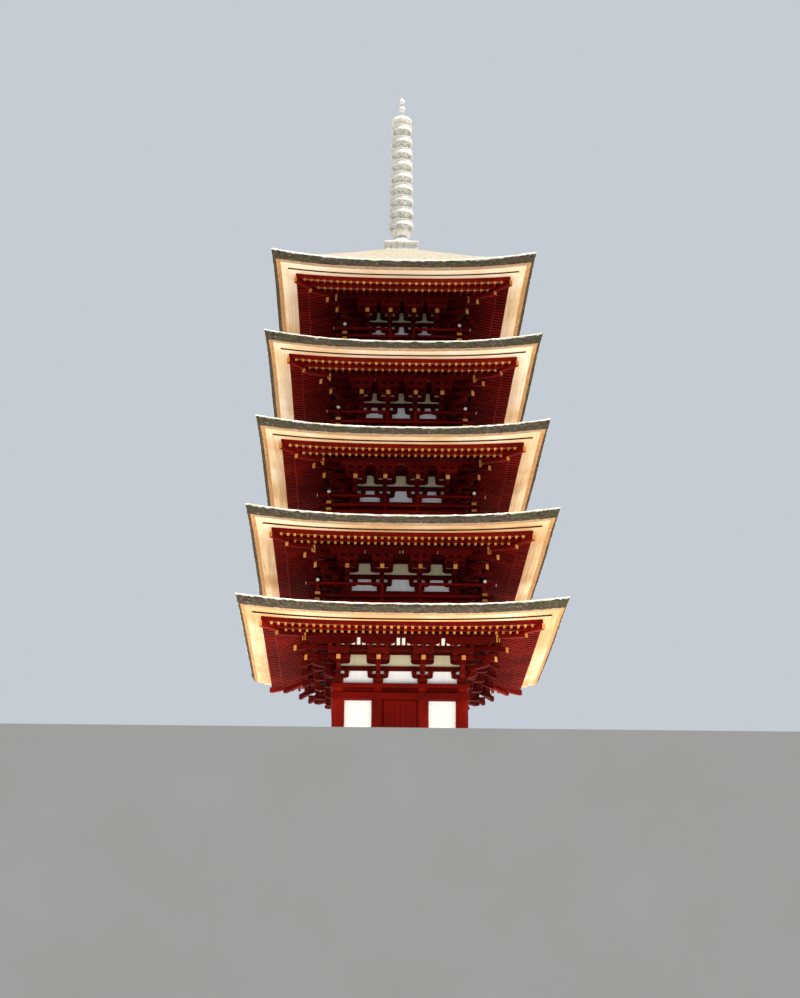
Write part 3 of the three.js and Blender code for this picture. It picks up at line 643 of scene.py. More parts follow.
def slanting_tail(end, end_height, high=TAIL_HIGH, stretch=1.0):
    """A tail rafter, rising from its end back to the wall by the slope times the distance."""
    path = [(0, -out * stretch, end_height + (end - out) * TAIL_SLOPE)
            for out in (TAIL_START, end)]
    return sawn_timber(path, TAIL_WIDE, high, TAIL_EDGE)


def arm_reaches(storey):
    """Half-lengths of the lower and upper wall arm, shorter where the bays are narrow."""
    bay = BODY_HALF[storey] - DOOR_COLUMN[storey]
    return min(0.207, 0.093 + (bay - 0.186) / 3), min(0.230, 0.05 + (bay - 0.1) * 0.4)


def purlin_foot(storey):
    """Height of the purlin's underside over the head plate."""
    return EAVE_TOP[storey] - PURLIN_BELOW_EAVE - BRACKET_BASE[storey]


def purlin_arm_reach(storey):
    """Half-length of the arm under the purlin: in narrow bays two neighbours nearly meet."""
    return min(0.340, (BODY_HALF[storey] - DOOR_COLUMN[storey]) / 2 - 0.005)


def bracket_set(storey):
    """One whole set in the plane across the wall, its column centre at x = 0 and out = 0. The
    parts under the purlin share out the room that is left there."""
    low_reach, high_reach = arm_reaches(storey)
    foot = WALL_ARM[0]
    room = purlin_foot(storey) - foot
    parts = [
        wall_arm(ARM_ROOT, ARM_FACE, low_reach, *FIRST_ARM),
        wall_arm(ARM_ROOT, ARM_FACE, high_reach, *WALL_ARM),
        small_block(0, BLOCK_OUT, *PACKING_BLOCK),
        step_arm(FIRST_REACH, *FIRST_ARM),
        small_block(0, FIRST_STEP, *FIRST_BLOCK),
        step_arm(SECOND_REACH, *SECOND_ARM),
        small_block(0, SECOND_STEP, *SECOND_BLOCK),
        slanting_tail(TAIL_END, TAIL_CENTRE[storey]),
        small_block(0, PURLIN_OUT, foot - 0.010, 0.18 * room + 0.010),
        wall_arm(PURLIN_OUT - 0.042, PURLIN_OUT + 0.042, SHORT_REACH, foot + 0.18 * room,
                 0.28 * room),
        wall_arm(PURLIN_OUT - 0.038, PURLIN_OUT + 0.038, purlin_arm_reach(storey),
                 foot + 0.66 * room, 0.34 * room),
    ]
    for x in (-1, 0, 1):
        parts += [
            small_block(x * (low_reach - 0.042), BLOCK_OUT, *FIRST_BLOCK),
            small_block(x * (high_reach - 0.045), BLOCK_OUT, *WALL_BLOCK),
            small_block(x * 0.165, PURLIN_OUT, foot + 0.46 * room, 0.20 * room, 0.085),
            small_block(x * 0.160, SECOND_STEP, sum(STEP_WALL_ARM),
                        STEP_TIE_FOOT - sum(STEP_WALL_ARM)),
        ]
    parts.append(wall_arm(SECOND_STEP - 0.042, SECOND_STEP + 0.042, SHORT_REACH, *STEP_WALL_ARM))
    return joined(toned(parts))


def diagonal_set(storey):
    """The set that runs out at a corner: the same steps, longer by the diagonal, with two
    tail rafters one over the other."""
    stretch = np.sqrt(2)
    (low_end, low_height), (high_end, high_height) = DIAGONAL_TAILS
    parts = [
        step_arm(FIRST_REACH * stretch, *FIRST_ARM),
        small_block(0, FIRST_STEP * stretch, *FIRST_BLOCK),
        step_arm(SECOND_REACH * stretch, *SECOND_ARM),
        small_block(0, SECOND_STEP * stretch, *SECOND_BLOCK),
        *(slanting_tail(*tail, DIAGONAL_TAIL_HIGH, stretch) for tail in DIAGONAL_TAILS),
        small_block(0, (low_end - 0.04) * stretch, low_height + 0.05, 0.060),
    ]
    seat = high_height + (high_end - PURLIN_OUT) * TAIL_SLOPE + 0.04
    if purlin_foot(storey) > seat:
        parts.append(small_block(0, PURLIN_OUT * stretch, seat, purlin_foot(storey) - seat))
    return joined(toned(parts))


def bracket_ring(storey):
    """The sets over every column of the four sides, and one more on each diagonal."""
    half, base = BODY_HALF[storey], BRACKET_BASE[storey]
    over_columns = [place(x, -half, base) for x in side_places(storey)]
    bearing_block = small_block(0, 0, 0.0, BEARING_HIGH, BEARING_WIDE)
    bearings = copies(bearing_block, over_columns[1:])
    sets = copies(bracket_set(storey), over_columns)
    corner = copies(diagonal_set(storey), [place(half, -half, base, QUARTER / 2)])
    return four_sides([bearings, sets, corner], CROSSING_STEP)


# Ties, purlins and ribs of the bracket zone
#
# Two tie beams run through the wall arms and one over the second step. The
# purlin on the tail rafters carries the roof, and thin ribs with white boards
# behind them close the slope between the last tie and the purlin.

# Distance out of the face, foot and top over the head plate
TIE_BEAMS = [(0.065, 0.268, 0.364), (0.070, 0.600, 0.690)]
STEP_TIE_HALF = 0.042
PURLIN_HALF, PURLIN_HIGH, PURLIN_END_DROP = 0.045, 0.081, 0.020
PURLIN_RUN_PAST, PURLIN_ARM_HIGH = 0.060, 0.095
# The slope under the ribs starts past the step tie and ends under the purlin
SLOPE_FOOT, SLOPE_HEAD, RIB_HEAD = 0.480, 0.650, 0.640
RIB_SPACING, RIB_WIDE, RIB_THICK = 0.1035, 0.038, 0.030
GROUND_PLATE_IN, GROUND_PLATE_FOOT = 0.080, 2.370
# Finish 3 is the plain red, without the bracket zone's painted shade
WHITE_BOARD, UNSHADED_RED = 2, 3

# White-washed boards behind the ribs
WHITE_BOARDS = new_material("whitewashed_boards", painted, ("e6ded0", "f2ece0", "faf6ee"),
                            roughness=0.8)


def tie_rings(storey):
    """Tie beams, step tie, ceiling boards, purlin and the red board over the white one."""
    half, base = BODY_HALF[storey], BRACKET_BASE[storey]
    foot, step, purlin = base + purlin_foot(storey), half + SECOND_STEP, half + PURLIN_OUT
    step_low, step_high = base + STEP_TIE_FOOT, base + STEP_TIE_TOP
    return [
        *(beam_ring(half + ARM_ROOT, half + out, base + low, base + high, 0.005)
          for out, low, high in TIE_BEAMS),
        beam_ring(step - STEP_TIE_HALF, step + STEP_TIE_HALF, step_low, step_high, 0.005),
        beam_ring(half + 0.05, step, step_high - 0.030, step_high - 0.008, 0.0),
        beam_ring(purlin - PURLIN_HALF, purlin + PURLIN_HALF, foot, foot + PURLIN_HIGH, 0.006),
        plan_ring([(half + SLOPE_FOOT, step_high + 0.022), (half + SLOPE_HEAD, foot + 0.022),
                   (half + SLOPE_HEAD, foot + 0.040), (half + SLOPE_FOOT, step_high + 0.040)],
                  SQUARE),
    ]


def purlin_ends(storey):
    """The crossing ends of the purlins and of the beams under them, with ochre cut faces."""
    reach = BODY_HALF[storey] + PURLIN_OUT
    foot = BRACKET_BASE[storey] + purlin_foot(storey)
    heights = [(foot + 0.002, foot + PURLIN_HIGH - PURLIN_END_DROP, PURLIN_HALF - 0.004),
               (foot - PURLIN_ARM_HIGH, foot - 0.002, PURLIN_HALF - 0.009)]
    ends = []
    for near, far in ((-reach - PURLIN_RUN_PAST, -reach), (reach, reach + PURLIN_RUN_PAST)):
        ends += [block((near, -reach - wide, low), (far, -reach + wide, high), cap_kind=OCHRE)
                 for low, high, wide in heights]
    return four_sides(ends, CROSSING_STEP)


def ribs(storey):
    """Slanting ribs from the step tie out to the purlin over each bay, and the white board
    behind them: a rib in the centre of the middle bay, a gap in the centre of the others."""
    half, door, base = BODY_HALF[storey], DOOR_COLUMN[storey], BRACKET_BASE[storey]
    slope = np.array([(0, -half - SLOPE_FOOT, base + STEP_TIE_TOP + 0.010),
                      (0, -half - RIB_HEAD, base + purlin_foot(storey) + 0.010)])
    rib = carried(rectangle(RIB_WIDE, RIB_THICK), slope, AXES[0], AXES[2])
    board = carried(rectangle(2 * half, 0.006), slope + (0, 0, 0.0085), AXES[0], AXES[2],
                    kind=WHITE_BOARD)
    side, side_room = (door + half) / 2, (half - door) / 2
    places = []
    for centre, room, shift in ((0, door, 0.0), (side, side_room, 0.5), (-side, side_room, 0.5)):
        steps = np.arange(-8, 8) + shift
        places += [centre + k * RIB_SPACING for k in steps if abs(k) * RIB_SPACING < room]
    return four_sides([board, copies(rib, [place(x) for x in places])])


for storey in range(5):
    wood = [bracket_ring(storey), *tie_rings(storey), purlin_ends(storey), ribs(storey)]
    nodes = []
    if storey == 0:
        wood.append(beam_ring(BODY_HALF[0] - GROUND_PLATE_IN, BODY_HALF[0] + BEAM_OUT,
                              GROUND_PLATE_FOOT, BRACKET_BASE[0], kind=UNSHADED_RED))
        nodes = ["storey_1_brackets"]
    make_piece(f"storey_{storey + 1}_bracket_sets", wood,
               [SHADED_VERMILION, OCHRE_ENDS, WHITE_BOARDS, VERMILION],
               nodes=nodes)


# Rafters
#
# Two tiers of close-set red rafters with ochre ends: base rafters slope out
# from the wall, flying rafters lie on the batten at their ends. All sweep up
# towards the corners, where a stouter corner rafter runs out in each tier.

ROOF_HALF = [3.210, 3.084, 2.943, 2.831, 2.744]
CORNER_LIFT, EDGE_PULL, LIFT_FROM = 0.227, 0.050, 0.680
RAFTER_SPACING = [0.136, 0.132, 0.1325, 0.136, 0.136]
# The ground storey's rafters leave the middle free, the others have one there
FIRST_RAFTER = [0.5, 0.0, 0.0, 0.0, 0.0]
BASE_START, BASE_END, BASE_BOTTOM, BASE_SLOPE = 0.050, 1.230, -0.348, 0.28
FLYING_START, FLYING_END, FLYING_BOTTOM, FLYING_SLOPE = 1.100, 1.485, -0.320, 0.16
BASE_WIDE, BASE_HIGH = 0.046, 0.050
FLYING_WIDE, FLYING_HIGH = 0.050, 0.056
CORNER_MARGIN, DIAGONAL_GAP, SHORTEST_RAFTER = 0.075, 0.03, 0.06
RAFTER_STEPS = 5
DIAGONAL = (AXES[0] + AXES[1]) / np.sqrt(2)


def eave_sweep(storey):
    """Sweep of everything out at the eave, with s = max(0, (half - start) / reach): it is
    pulled in by EDGE_PULL * s ** 2 * (1 - along ** 4), so that the corners flare a little, and
    raised by CORNER_LIFT * s ** 2.2 * along ** 2.6 as in the solids, and by half of the pull."""
    start = BODY_HALF[storey] + LIFT_FROM
    reach = ROOF_HALF[storey] - start

    def sweep(half, along):
        s = np.maximum(0, (half - start) / reach)
        pull = EDGE_PULL * s ** 2 * (1 - along ** 4)
        return pull, CORNER_LIFT * along ** 2.6 * s ** 2.2 + pull / 2

    return sweep


def base_bottom(out):
    """Underside of a base rafter below the eave's top, at a distance out from the wall."""
    return BASE_BOTTOM + (BASE_END - out) * BASE_SLOPE


def flying_bottom(out):
    """Underside of a flying rafter below the eave's top."""
    return FLYING_BOTTOM + (FLYING_END - out) * FLYING_SLOPE


def rafter_tier(storey, start, end, bottom, wide, high):
    """All rafters of one tier on one side: each is a rectangle carried out and up with the
    sweep, and those past the wall's corner start at the diagonal."""
    half, top, sweep = BODY_HALF[storey], EAVE_TOP[storey], eave_sweep(storey)
    count = int((half + end) / RAFTER_SPACING[storey]) + 1
    rafters = []
    for x in (np.arange(-count, count + 1) + FIRST_RAFTER[storey]) * RAFTER_SPACING[storey]:
        first = max(start, abs(x) - half + DIAGONAL_GAP)
        if end - first < SHORTEST_RAFTER or abs(x) > half + end - CORNER_MARGIN:
            continue
        out = np.linspace(first, end, RAFTER_STEPS)
        pull, rise = sweep(half + out, abs(x) / (half + out))
        z = top + bottom(out) + high / 2 + rise
        path = np.stack([np.full(RAFTER_STEPS, x), pull - (half + out), z], -1)
        rafters.append(sawn_timber(path, wide, high))
    return toned(rafters)


# Start, end, underside of its tier, how far it hangs below that, width and height
CORNER_RAFTERS = [
    (0.05, 1.195, base_bottom, 0.075, 0.085, 0.130),
    (0.90, 1.505, flying_bottom, 0.060, 0.085, 0.110),
]


def corner_rafters(storey):
    """The rafter on the diagonal in each tier, deeper than its neighbours."""
    half, top, sweep = BODY_HALF[storey], EAVE_TOP[storey], eave_sweep(storey)
    timbers = []
    for start, end, bottom, drop, wide, high in CORNER_RAFTERS:
        out = np.linspace(start, end, 7)
        z = top + bottom(out) - drop + high / 2 + sweep(half + out, 1.0)[1]
        path = np.stack([half + out, -(half + out), z], -1)
        timbers.append(sawn_timber(path, wide, high, across=DIAGONAL))
    return toned(timbers)


def all_rafters(storey):
    """Both tiers and the corner rafters of all four sides."""
    return [four_sides(
        rafter_tier(storey, BASE_START, BASE_END, base_bottom, BASE_WIDE, BASE_HIGH)
        + rafter_tier(storey, FLYING_START, FLYING_END, flying_bottom, FLYING_WIDE, FLYING_HIGH)
        + corner_rafters(storey))]


dress_storeys("rafters", all_rafters, [VERMILION, OCHRE_ENDS])


# Eave boards
#
# Red soffit boards lie on the rafters, with a pale strip of painted light along the
# rafters' tips, and a red batten on each tier's ends. Two broad boards of pale bare
# cypress step out to the bark, the lower with a dark front edge of painted shadow;
# all the boards are painted paler the higher they hang, as painted light.

SIDE_STEPS = 28
BATTEN_FOOT, FLYING_BATTEN_FOOT = -0.288, -0.256
# Each storey's eave boards are painted paler by this step of tone: painted light, so that the
# higher soffits look as brightly lit as the lower ones
STOREY_PAINTED_LIGHT = 0.22
RED, TIP_LIGHT, PALE, SHADOW_FACE = 0, 1, 2, 3

# A pale pinkish red on the boards just inside each batten, over the rafters' tips: painted light
# where light from below reaches into the slots between the rafters
TIP_LIGHT_PAINT = new_material("vermilion_painted_tip_light", painted, ("98402b", "c6775c", "e2a184"),
                            patch=9.0)
# Bare wood with wide, soft figure; the lower board's front edge is painted dark brown as painted
# shadow
PALE_CYPRESS = new_material("bare_cypress_boards", painted, ("d0a274", "f1cfa5", "ffeed6"),
                            stops=(0.1, 0.5, 0.9), patch=0.7, grain=(1.1, 30.0), roughness=0.7)
EDGE_SHADOW_PAINT = new_material("board_edge_painted_shadow", painted, ("2c1509", "3d2110", "55321b"),
                            roughness=0.7)


def square_plan(steps):
    """A square with half-width 1 in equal steps of angle, which crowd towards its corners:
    along = sin(angle) on each side, counter-clockwise from the front left corner."""
    along = np.sin(np.linspace(-QUARTER, QUARTER, steps + 1))[:-1]
    sides = [np.stack([along, -np.ones(steps)], -1)]
    for _ in range(3):
        sides.append(sides[-1] @ np.array([(0.0, 1.0), (-1.0, 0.0)]))
    return np.concatenate(sides)


EAVE_PLAN = square_plan(SIDE_STEPS)


def slab_inner(storey):
    """Inner half-width of the boards over the wall, where the next storey's feet stand."""
    return BODY_HALF[storey + 1] - 0.150 if storey < 4 else 0.130


def soffit(storey):
    """Section of the boards from the wall out and back over their top: (distance out, height
    from the eave's top, finish of the face that follows)."""
    inner = slab_inner(storey) - BODY_HALF[storey]
    # Painted light: the pinkish faces just inside each batten. Painted shadow: the dark front face
    # of the lower pale board.
    return [
        (inner, 0.057, RED), (0.050, 0.057, RED),
        *((out, base_bottom(out) + BASE_HIGH, kind)
          for out, kind in ((1.080, TIP_LIGHT), (1.180, RED))),
        (1.180, BATTEN_FOOT, RED), (1.250, BATTEN_FOOT, RED), (1.256, BATTEN_FOOT + 0.006, RED),
        *((out, flying_bottom(out) + FLYING_HIGH, kind)
          for out, kind in ((1.255, RED), (1.385, TIP_LIGHT), (1.445, RED))),
        (1.445, FLYING_BATTEN_FOOT, RED), (1.489, FLYING_BATTEN_FOOT, RED),
        (1.495, FLYING_BATTEN_FOOT + 0.006, RED),
        (1.495, -0.178, PALE), (1.660, -0.200, SHADOW_FACE),
        (1.660, -0.168, PALE), (1.810, -0.155, PALE),
        (1.810, -0.120, RED), (1.230, -0.120, RED), (0.060, 0.0996, RED), (inner, 0.0996, RED),
    ]


def eave_boards(storey):
    """The section carried round the square with the eave's sweep, painted paler on higher storeys
    as painted light.
    """
    rows = soffit(storey)
    outline = [(BODY_HALF[storey] + out, EAVE_TOP[storey] + z) for out, z, _ in rows]
    finish = np.array([kind for *_, kind in rows])[:, None]
    boards = plan_ring(outline, EAVE_PLAN, eave_sweep(storey), finish)
    boards["tone"] = np.full(len(boards["sizes"]), STOREY_PAINTED_LIGHT * storey)
    return [boards]


dress_storeys("eave_boards", eave_boards, [VERMILION, TIP_LIGHT_PAINT, PALE_CYPRESS, EDGE_SHADOW_PAINT],
              "eaves")


# Bark roofs
#
# Shingles of cypress bark, pinned course over course into a thick mat with
# swept corners. The mat's edge is cut slanting, shows its thin layers and is
# tinged with moss, and its worn lip is painted pale, partly as a painted highlight.
# Its underside is painted tan on the front as painted light, orange-brown elsewhere as painted
# shade.

RAIL_HALF = [1.661, 1.472, 1.312, 1.205]
DECK_TOP = [4.005, 5.955, 7.850, 9.840]
BARK_EDGE, BARK_CUT_IN, MIDDLE_THINNER = 0.160, 0.100, 0.035
LAYERS, LAYER_STEP = 9, 0.004
LIP_HIGH = 0.030
# (distance in from the edge, depth below it) of the rounded lip
LIP_ROUND = [(0.012, LIP_HIGH), (0.003, 0.018), (0.010, 0.006)]
# How far the worn lip stands over the eave's line in the middle of a side, and fades inwards
LIP_SWELL, SWELL_REACH = [0.045, 0.014, 0.0, 0.0, 0.0], 0.9
RAGGED_STRIP, RAGGED_UP, RAGGED_IN, RAGGED_LIP = 0.15, 0.003, 0.0007, 0.008
# (distance out from the wall, height from the eave's top) of the face on the eave boards
ON_BOARDS = [(0.060, 0.100), (1.230, -0.1197), (1.8103, -0.1197), (1.8103, -0.150)]
HOLE_GAP, TOP_HOLE = 0.145, 0.130
ROOF_STEPS, ROOF_HOLLOW, TOP_ROOF_HOLLOW = 22, 0.7, 0.95
DECK_LAP, DECK_SINK = 0.060, 0.040
TOP_ROOF_END = (0.370, 12.455)
ROOF_SIDE_STEPS = 110
ROOF_PLAN = square_plan(ROOF_SIDE_STEPS)
WEATHERED, CUT_EDGE, UNDERSIDE, LIP, SIDE_SHADE_UNDERSIDE = 0, 1, 2, 3, 4


def weathered_bark(tree):
    """Old bark: courses 12 mm apart, drawn 60 mm apart to show, bleached grey-brown in soft
    blotches, with strips of loose fibre running down the slope and moss in broad patches."""
    along = add(tree, "UVMap", {"uv_map": "grain"})
    spot = add(tree, "TexCoord", out="Object")
    courses = add(tree, "TexWave", {"bands_direction": "Y", "Scale": 5.2, "Distortion": 2.2,
                                    "Detail": 3.0, "Detail Scale": 2.0}, {"Vector": along})
    strips = add(tree, "Mapping", {"Scale": (26.0, 3.5, 1.0)}, {"Vector": along})
    chips = add(tree, "TexNoise", {"Scale": 1.0, "Detail": 6.0, "Roughness": 0.6},
                {"Vector": strips})
    moss = add(tree, "TexNoise", {"Scale": 1.3, "Detail": 6.0}, {"Vector": spot})
    layered = add(tree, "Mix", {"Factor": 0.14}, {"A": chips, "B": courses})
    bark = add(tree, "ValToRGB", {"stops": [(0.25, "6a5f50"), (0.5, "968b79"), (0.75, "bfb5a2")]},
               {"Fac": layered})
    growth = add(tree, "ValToRGB", {"stops": [(0.52, "000000"), (0.72, "8c8c8c")]}, {"Fac": moss})
    colour = add(tree, "Mix", {"data_type": "RGBA", "B": linear("7d8560")},
                 {"Factor": growth, "A": bark})
    rough = add(tree, "Math", {"operation": "MULTIPLY_ADD", 1: 0.6}, {0: courses, 2: chips})
    bump = add(tree, "Bump", {"Strength": 0.8, "Distance": 0.008}, {"Height": rough})
    return {"Roughness": 0.95, "IOR": 1.45}, {"Base Color": colour, "Normal": bump}


def cut_bark(tree, colours, growth_colour):
    """The sawn edge: layers 15 mm thick run round the roof as dark and light lines, crossed
    by rain stains and loose strips 60 mm apart, with blotches of moss a hand wide."""
    along = add(tree, "UVMap", {"uv_map": "grain"})
    lines = add(tree, "Mapping", {"Scale": (3.0, 120.0, 1.0)}, {"Vector": along})
    layers = add(tree, "TexNoise", {"Scale": 1.0, "Detail": 4.0}, {"Vector": lines})
    drips = add(tree, "Mapping", {"Scale": (18.0, 16.0, 1.0)}, {"Vector": along})
    stains = add(tree, "TexNoise", {"Scale": 1.0, "Detail": 5.0, "Roughness": 0.65},
                 {"Vector": drips})
    spot = add(tree, "TexCoord", out="Object")
    moss = add(tree, "TexNoise", {"Scale": 4.5, "Detail": 5.0}, {"Vector": spot})
    mixed = add(tree, "Mix", {"Factor": 0.55}, {"A": layers, "B": stains})
    bark = add(tree, "ValToRGB", {"stops": colours}, {"Fac": mixed})
    growth = add(tree, "ValToRGB", {"stops": [(0.45, "000000"), (0.60, "b4b4b4")]}, {"Fac": moss})
    colour = add(tree, "Mix", {"data_type": "RGBA", "B": linear(growth_colour)},
                 {"Factor": growth, "A": bark})
    bump = add(tree, "Bump", {"Strength": 0.7, "Distance": 0.006}, {"Height": layers})
    return {"Roughness": 0.95, "IOR": 1.45}, {"Base Color": colour, "Normal": bump}


WEATHERED_BARK = new_material("weathered_bark_courses", weathered_bark)
CUT_BARK = new_material(
    "cut_bark_edge", cut_bark,
    [(0.34, "1d1610"), (0.48, "4a3c30"), (0.60, "6b5f51"), (0.70, "d0c8b8")], "424a26")
# The underside is painted orange-brown on the sides and back as painted shade, and tan on the
# front as painted light
SIDE_SHADE_BARK = new_material("bark_underside_painted_side_shade", cut_bark,
                          [(0.36, "96602f"), (0.5, "c08a52"), (0.66, "deb17c")], "b07d48")
FRONT_LIGHT_BARK = new_material("bark_underside_painted_front_light", cut_bark,
                              [(0.36, "94684a"), (0.5, "b59171"), (0.66, "ccb296")], "a78760")
# The worn top arris, bleached by sun and rain, and painted paler still as a painted highlight
BLEACHED_LIP_WITH_HIGHLIGHT = new_material("bleached_bark_lip_painted_highlight", cut_bark,
                             [(0.36, "a79e8e"), (0.5, "d6cfc1"), (0.66, "efeade")], "b3b294")


def roof_slope(storey):
    """Top from the edge up to the deck or finial: height rises by a * q + (1 - a) * q ** 2."""
    edge = np.array([ROOF_HALF[storey], EAVE_TOP[storey]])
    end, a = TOP_ROOF_END, TOP_ROOF_HOLLOW
    if storey < 4:
        end, a = (RAIL_HALF[storey] + DECK_LAP, DECK_TOP[storey] - DECK_SINK), ROOF_HOLLOW
    q = np.linspace(0, 1, ROOF_STEPS + 1)
    rise = np.stack([q, a * q + (1 - a) * q ** 2], -1)
    return edge + (np.array(end) - edge) * rise


def cut_edge(storey):
    """The slanting cut in layers: each stands a few millimetres past the one below it."""
    depth = np.repeat(np.linspace(-BARK_EDGE, -LIP_HIGH, LAYERS + 1), 2)[1:-1]
    half = ROOF_HALF[storey] + BARK_CUT_IN * depth / BARK_EDGE
    half[1::2] -= LAYER_STEP
    return np.stack([half, EAVE_TOP[storey] + depth], -1)


def roof_outline(storey):
    """Closed section of the mat with the finish of each face."""
    edge = EAVE_TOP[storey]
    hole = BODY_HALF[storey + 1] + HOLE_GAP if storey < 4 else TOP_HOLE
    slope = roof_slope(storey)
    lip = [(ROOF_HALF[storey] - inwards, edge - depth) for inwards, depth in LIP_ROUND]
    under = [(BODY_HALF[storey] + out, edge + z) for out, z in ON_BOARDS]
    top = [slope[0] + 0.3 * (slope[1] - slope[0]), *slope[1:], (hole, slope[-1][1])]
    rows = [([(hole, under[0][1]), *under[:-1]], WEATHERED), (under[-1:], UNDERSIDE),
            (cut_edge(storey), CUT_EDGE), (lip, LIP), (top, WEATHERED)]
    return (np.concatenate([np.asarray(points) for points, _ in rows]),
            np.concatenate([np.full(len(points), kind) for points, kind in rows]))


def bark_roof(storey):
    """The section carried round the square: its edge is thinner in the middle of a side and
    made ragged by a few millimetres, its pale lip with its painted highlight by a centimetre."""
    outline, kinds = roof_outline(storey)
    finish = np.repeat(kinds[:, None], len(ROOF_PLAN), 1)
    # Past the front side the underside takes the orange-brown of painted shade
    finish[kinds == UNDERSIDE, ROOF_SIDE_STEPS:] = SIDE_SHADE_UNDERSIDE
    mat = plan_ring(outline, ROOF_PLAN, eave_sweep(storey), finish)
    points = mat["points"].reshape(len(outline), len(ROOF_PLAN), 3)
    half, height = outline[:, :1], outline[:, 1:]
    middle = 1 - (np.abs(ROOF_PLAN).min(1) / np.abs(ROOF_PLAN).max(1)) ** 2
    cut = np.flatnonzero(kinds == CUT_EDGE)
    last = cut[-1]
    down = (EAVE_TOP[storey] - height[cut]) / BARK_EDGE
    points[cut, :, 2] += MIDDLE_THINNER * down * middle
    points[last:, :, 2] += LIP_SWELL[storey] * middle * np.clip(
        1 - (ROOF_HALF[storey] - half[last:]) / SWELL_REACH, 0, 1)
    at_edge = half[:, 0] > ROOF_HALF[storey] - RAGGED_STRIP
    ragged = np.flatnonzero((kinds == CUT_EDGE) | at_edge)
    drift = rng.normal(0, RAGGED_UP, (len(ragged), len(ROOF_PLAN)))
    points[ragged, :, 2] += drift
    points[ragged, :, :2] *= 1 - np.abs(rng.normal(0, RAGGED_IN, drift.shape))[..., None]
    points[[last, last + 1], :, 2] += rng.normal(0, RAGGED_LIP, len(ROOF_PLAN))
    return [mat]


dress_storeys("bark_roof", bark_roof,
              [WEATHERED_BARK, CUT_BARK, FRONT_LIGHT_BARK, BLEACHED_LIP_WITH_HIGHLIGHT, SIDE_SHADE_BARK],
              "roof")


# Railings
#
# Each upper deck has a low kerb rail, a flat middle rail and a round top rail on
# short posts. The rails cross and run past the corners, the flat ones with ochre
# cut ends; the top rail has white caps on its ends and leaves the middle bay open.

RAIL_MIDDLE = [4.155, 6.126, 8.010, 9.994]
RAIL_TOP = [4.414, 6.335, 8.239, 10.169]
TOP_RAIL_RADIUS = 0.032
TOP_RAIL_RUN_PAST, FLAT_RAIL_RUN_PAST = 0.240, 0.190
FLAT_RAIL_WIDE, FLAT_RAIL_HIGH = 0.100, 0.056
POST_HALF, POST_OVER, RAIL_LAP = 0.028, 0.02, 0.03
CAP_LENGTH, CAP_THICK = 0.008, 0.003
DECK_BOARD, DECK_THICK, DECK_INNER = 0.14, 0.0397, 0.136
METAL = 2


def cap_metal(tree):
    """White-lacquered sheet copper, dulled by weather."""
    spot = add(tree, "TexCoord", out="Object")
    spots = add(tree, "TexNoise", {"Scale": 40.0, "Detail": 3.0}, {"Vector": spot})
    colour = add(tree, "ValToRGB", {"stops": [(0.3, "b9b1a6"), (0.6, "eee8df"), (1.0, "fbf8f2")]},
                 {"Fac": spots})
    return {"Roughness": 0.45, "Metallic": 0.15}, {"Base Color": colour}


CAP_METAL = new_material("white_rail_caps", cap_metal)


def top_rail(storey, start, end):
    """Round rail from a post out past the corner, with a slightly thicker cap on its end."""
    half, z = RAIL_HALF[storey - 1], RAIL_TOP[storey - 1]
    hand = np.sign(end)
    bar = carried(circle(12) * TOP_RAIL_RADIUS, [(start, -half, z), (end, -half, z)],
                  AXES[1], AXES[2])
    cap = carried(circle(12) * (TOP_RAIL_RADIUS + CAP_THICK),
                  [(end - hand * CAP_LENGTH, -half, z), (end - hand * 0.004, -half, z),
                   (end + hand * 0.002, -half, z)],
                  AXES[1], AXES[2], [1, 1, 0.85], METAL)
    return toned([bar]) + [cap]


def flat_rail(half, z):
    """Flat rail through both corners, ochre on its cut ends."""
    run = half + FLAT_RAIL_RUN_PAST
    profile = rectangle(FLAT_RAIL_WIDE, FLAT_RAIL_HIGH, 0.005)
    return carried(profile, [(-run, -half, z), (run, -half, z)], AXES[1], AXES[2],
                   cap_kind=OCHRE)


def deck_boards(storey):
    """Boards of the deck, laid outwards from the wall under the kerb rail."""
    top, inner = DECK_TOP[storey - 1], BODY_HALF[storey] + DECK_INNER
    front = -RAIL_HALF[storey - 1] - DECK_LAP
    cuts = np.linspace(front, inner, round((inner - front) / DECK_BOARD) + 1)
    return toned(side_by_side(cuts, 0.001, (front, top - DECK_THICK), (-inner, top), 0.003,
                              ALONG_Y))


def railing(storey):
    """Rails, posts and deck of one upper storey."""
    half, top = RAIL_HALF[storey - 1], DECK_TOP[storey - 1]
    door = DOOR_COLUMN[storey]
    run = half + TOP_RAIL_RUN_PAST
    low, high = top + FLAT_RAIL_HIGH / 2, RAIL_TOP[storey - 1] + POST_OVER
    posts = toned([block((x - POST_HALF, -half - POST_HALF, low),
                         (x + POST_HALF, -half + POST_HALF, high), 0.004, ALONG_Z)
                   for x in (-door, door, half)])
    return [four_sides(
        posts + deck_boards(storey)
        + toned([flat_rail(half, low), flat_rail(half, RAIL_MIDDLE[storey - 1])])
        + top_rail(storey, -door + RAIL_LAP, -run) + top_rail(storey, door - RAIL_LAP, run),
        CROSSING_STEP)]


dress_storeys("deck_and_rails", railing, [VERMILION, OCHRE_ENDS, CAP_METAL],
              "railing", first=1)


# Finial
#
# Cast bronze threaded on the heart pillar: a square dew basin, a bowl with a
# lotus, nine rings on spokes, a canopy, and a knob and jewel. The metal is
# painted almost white: the glare of full sunlight painted over the darker bronze.

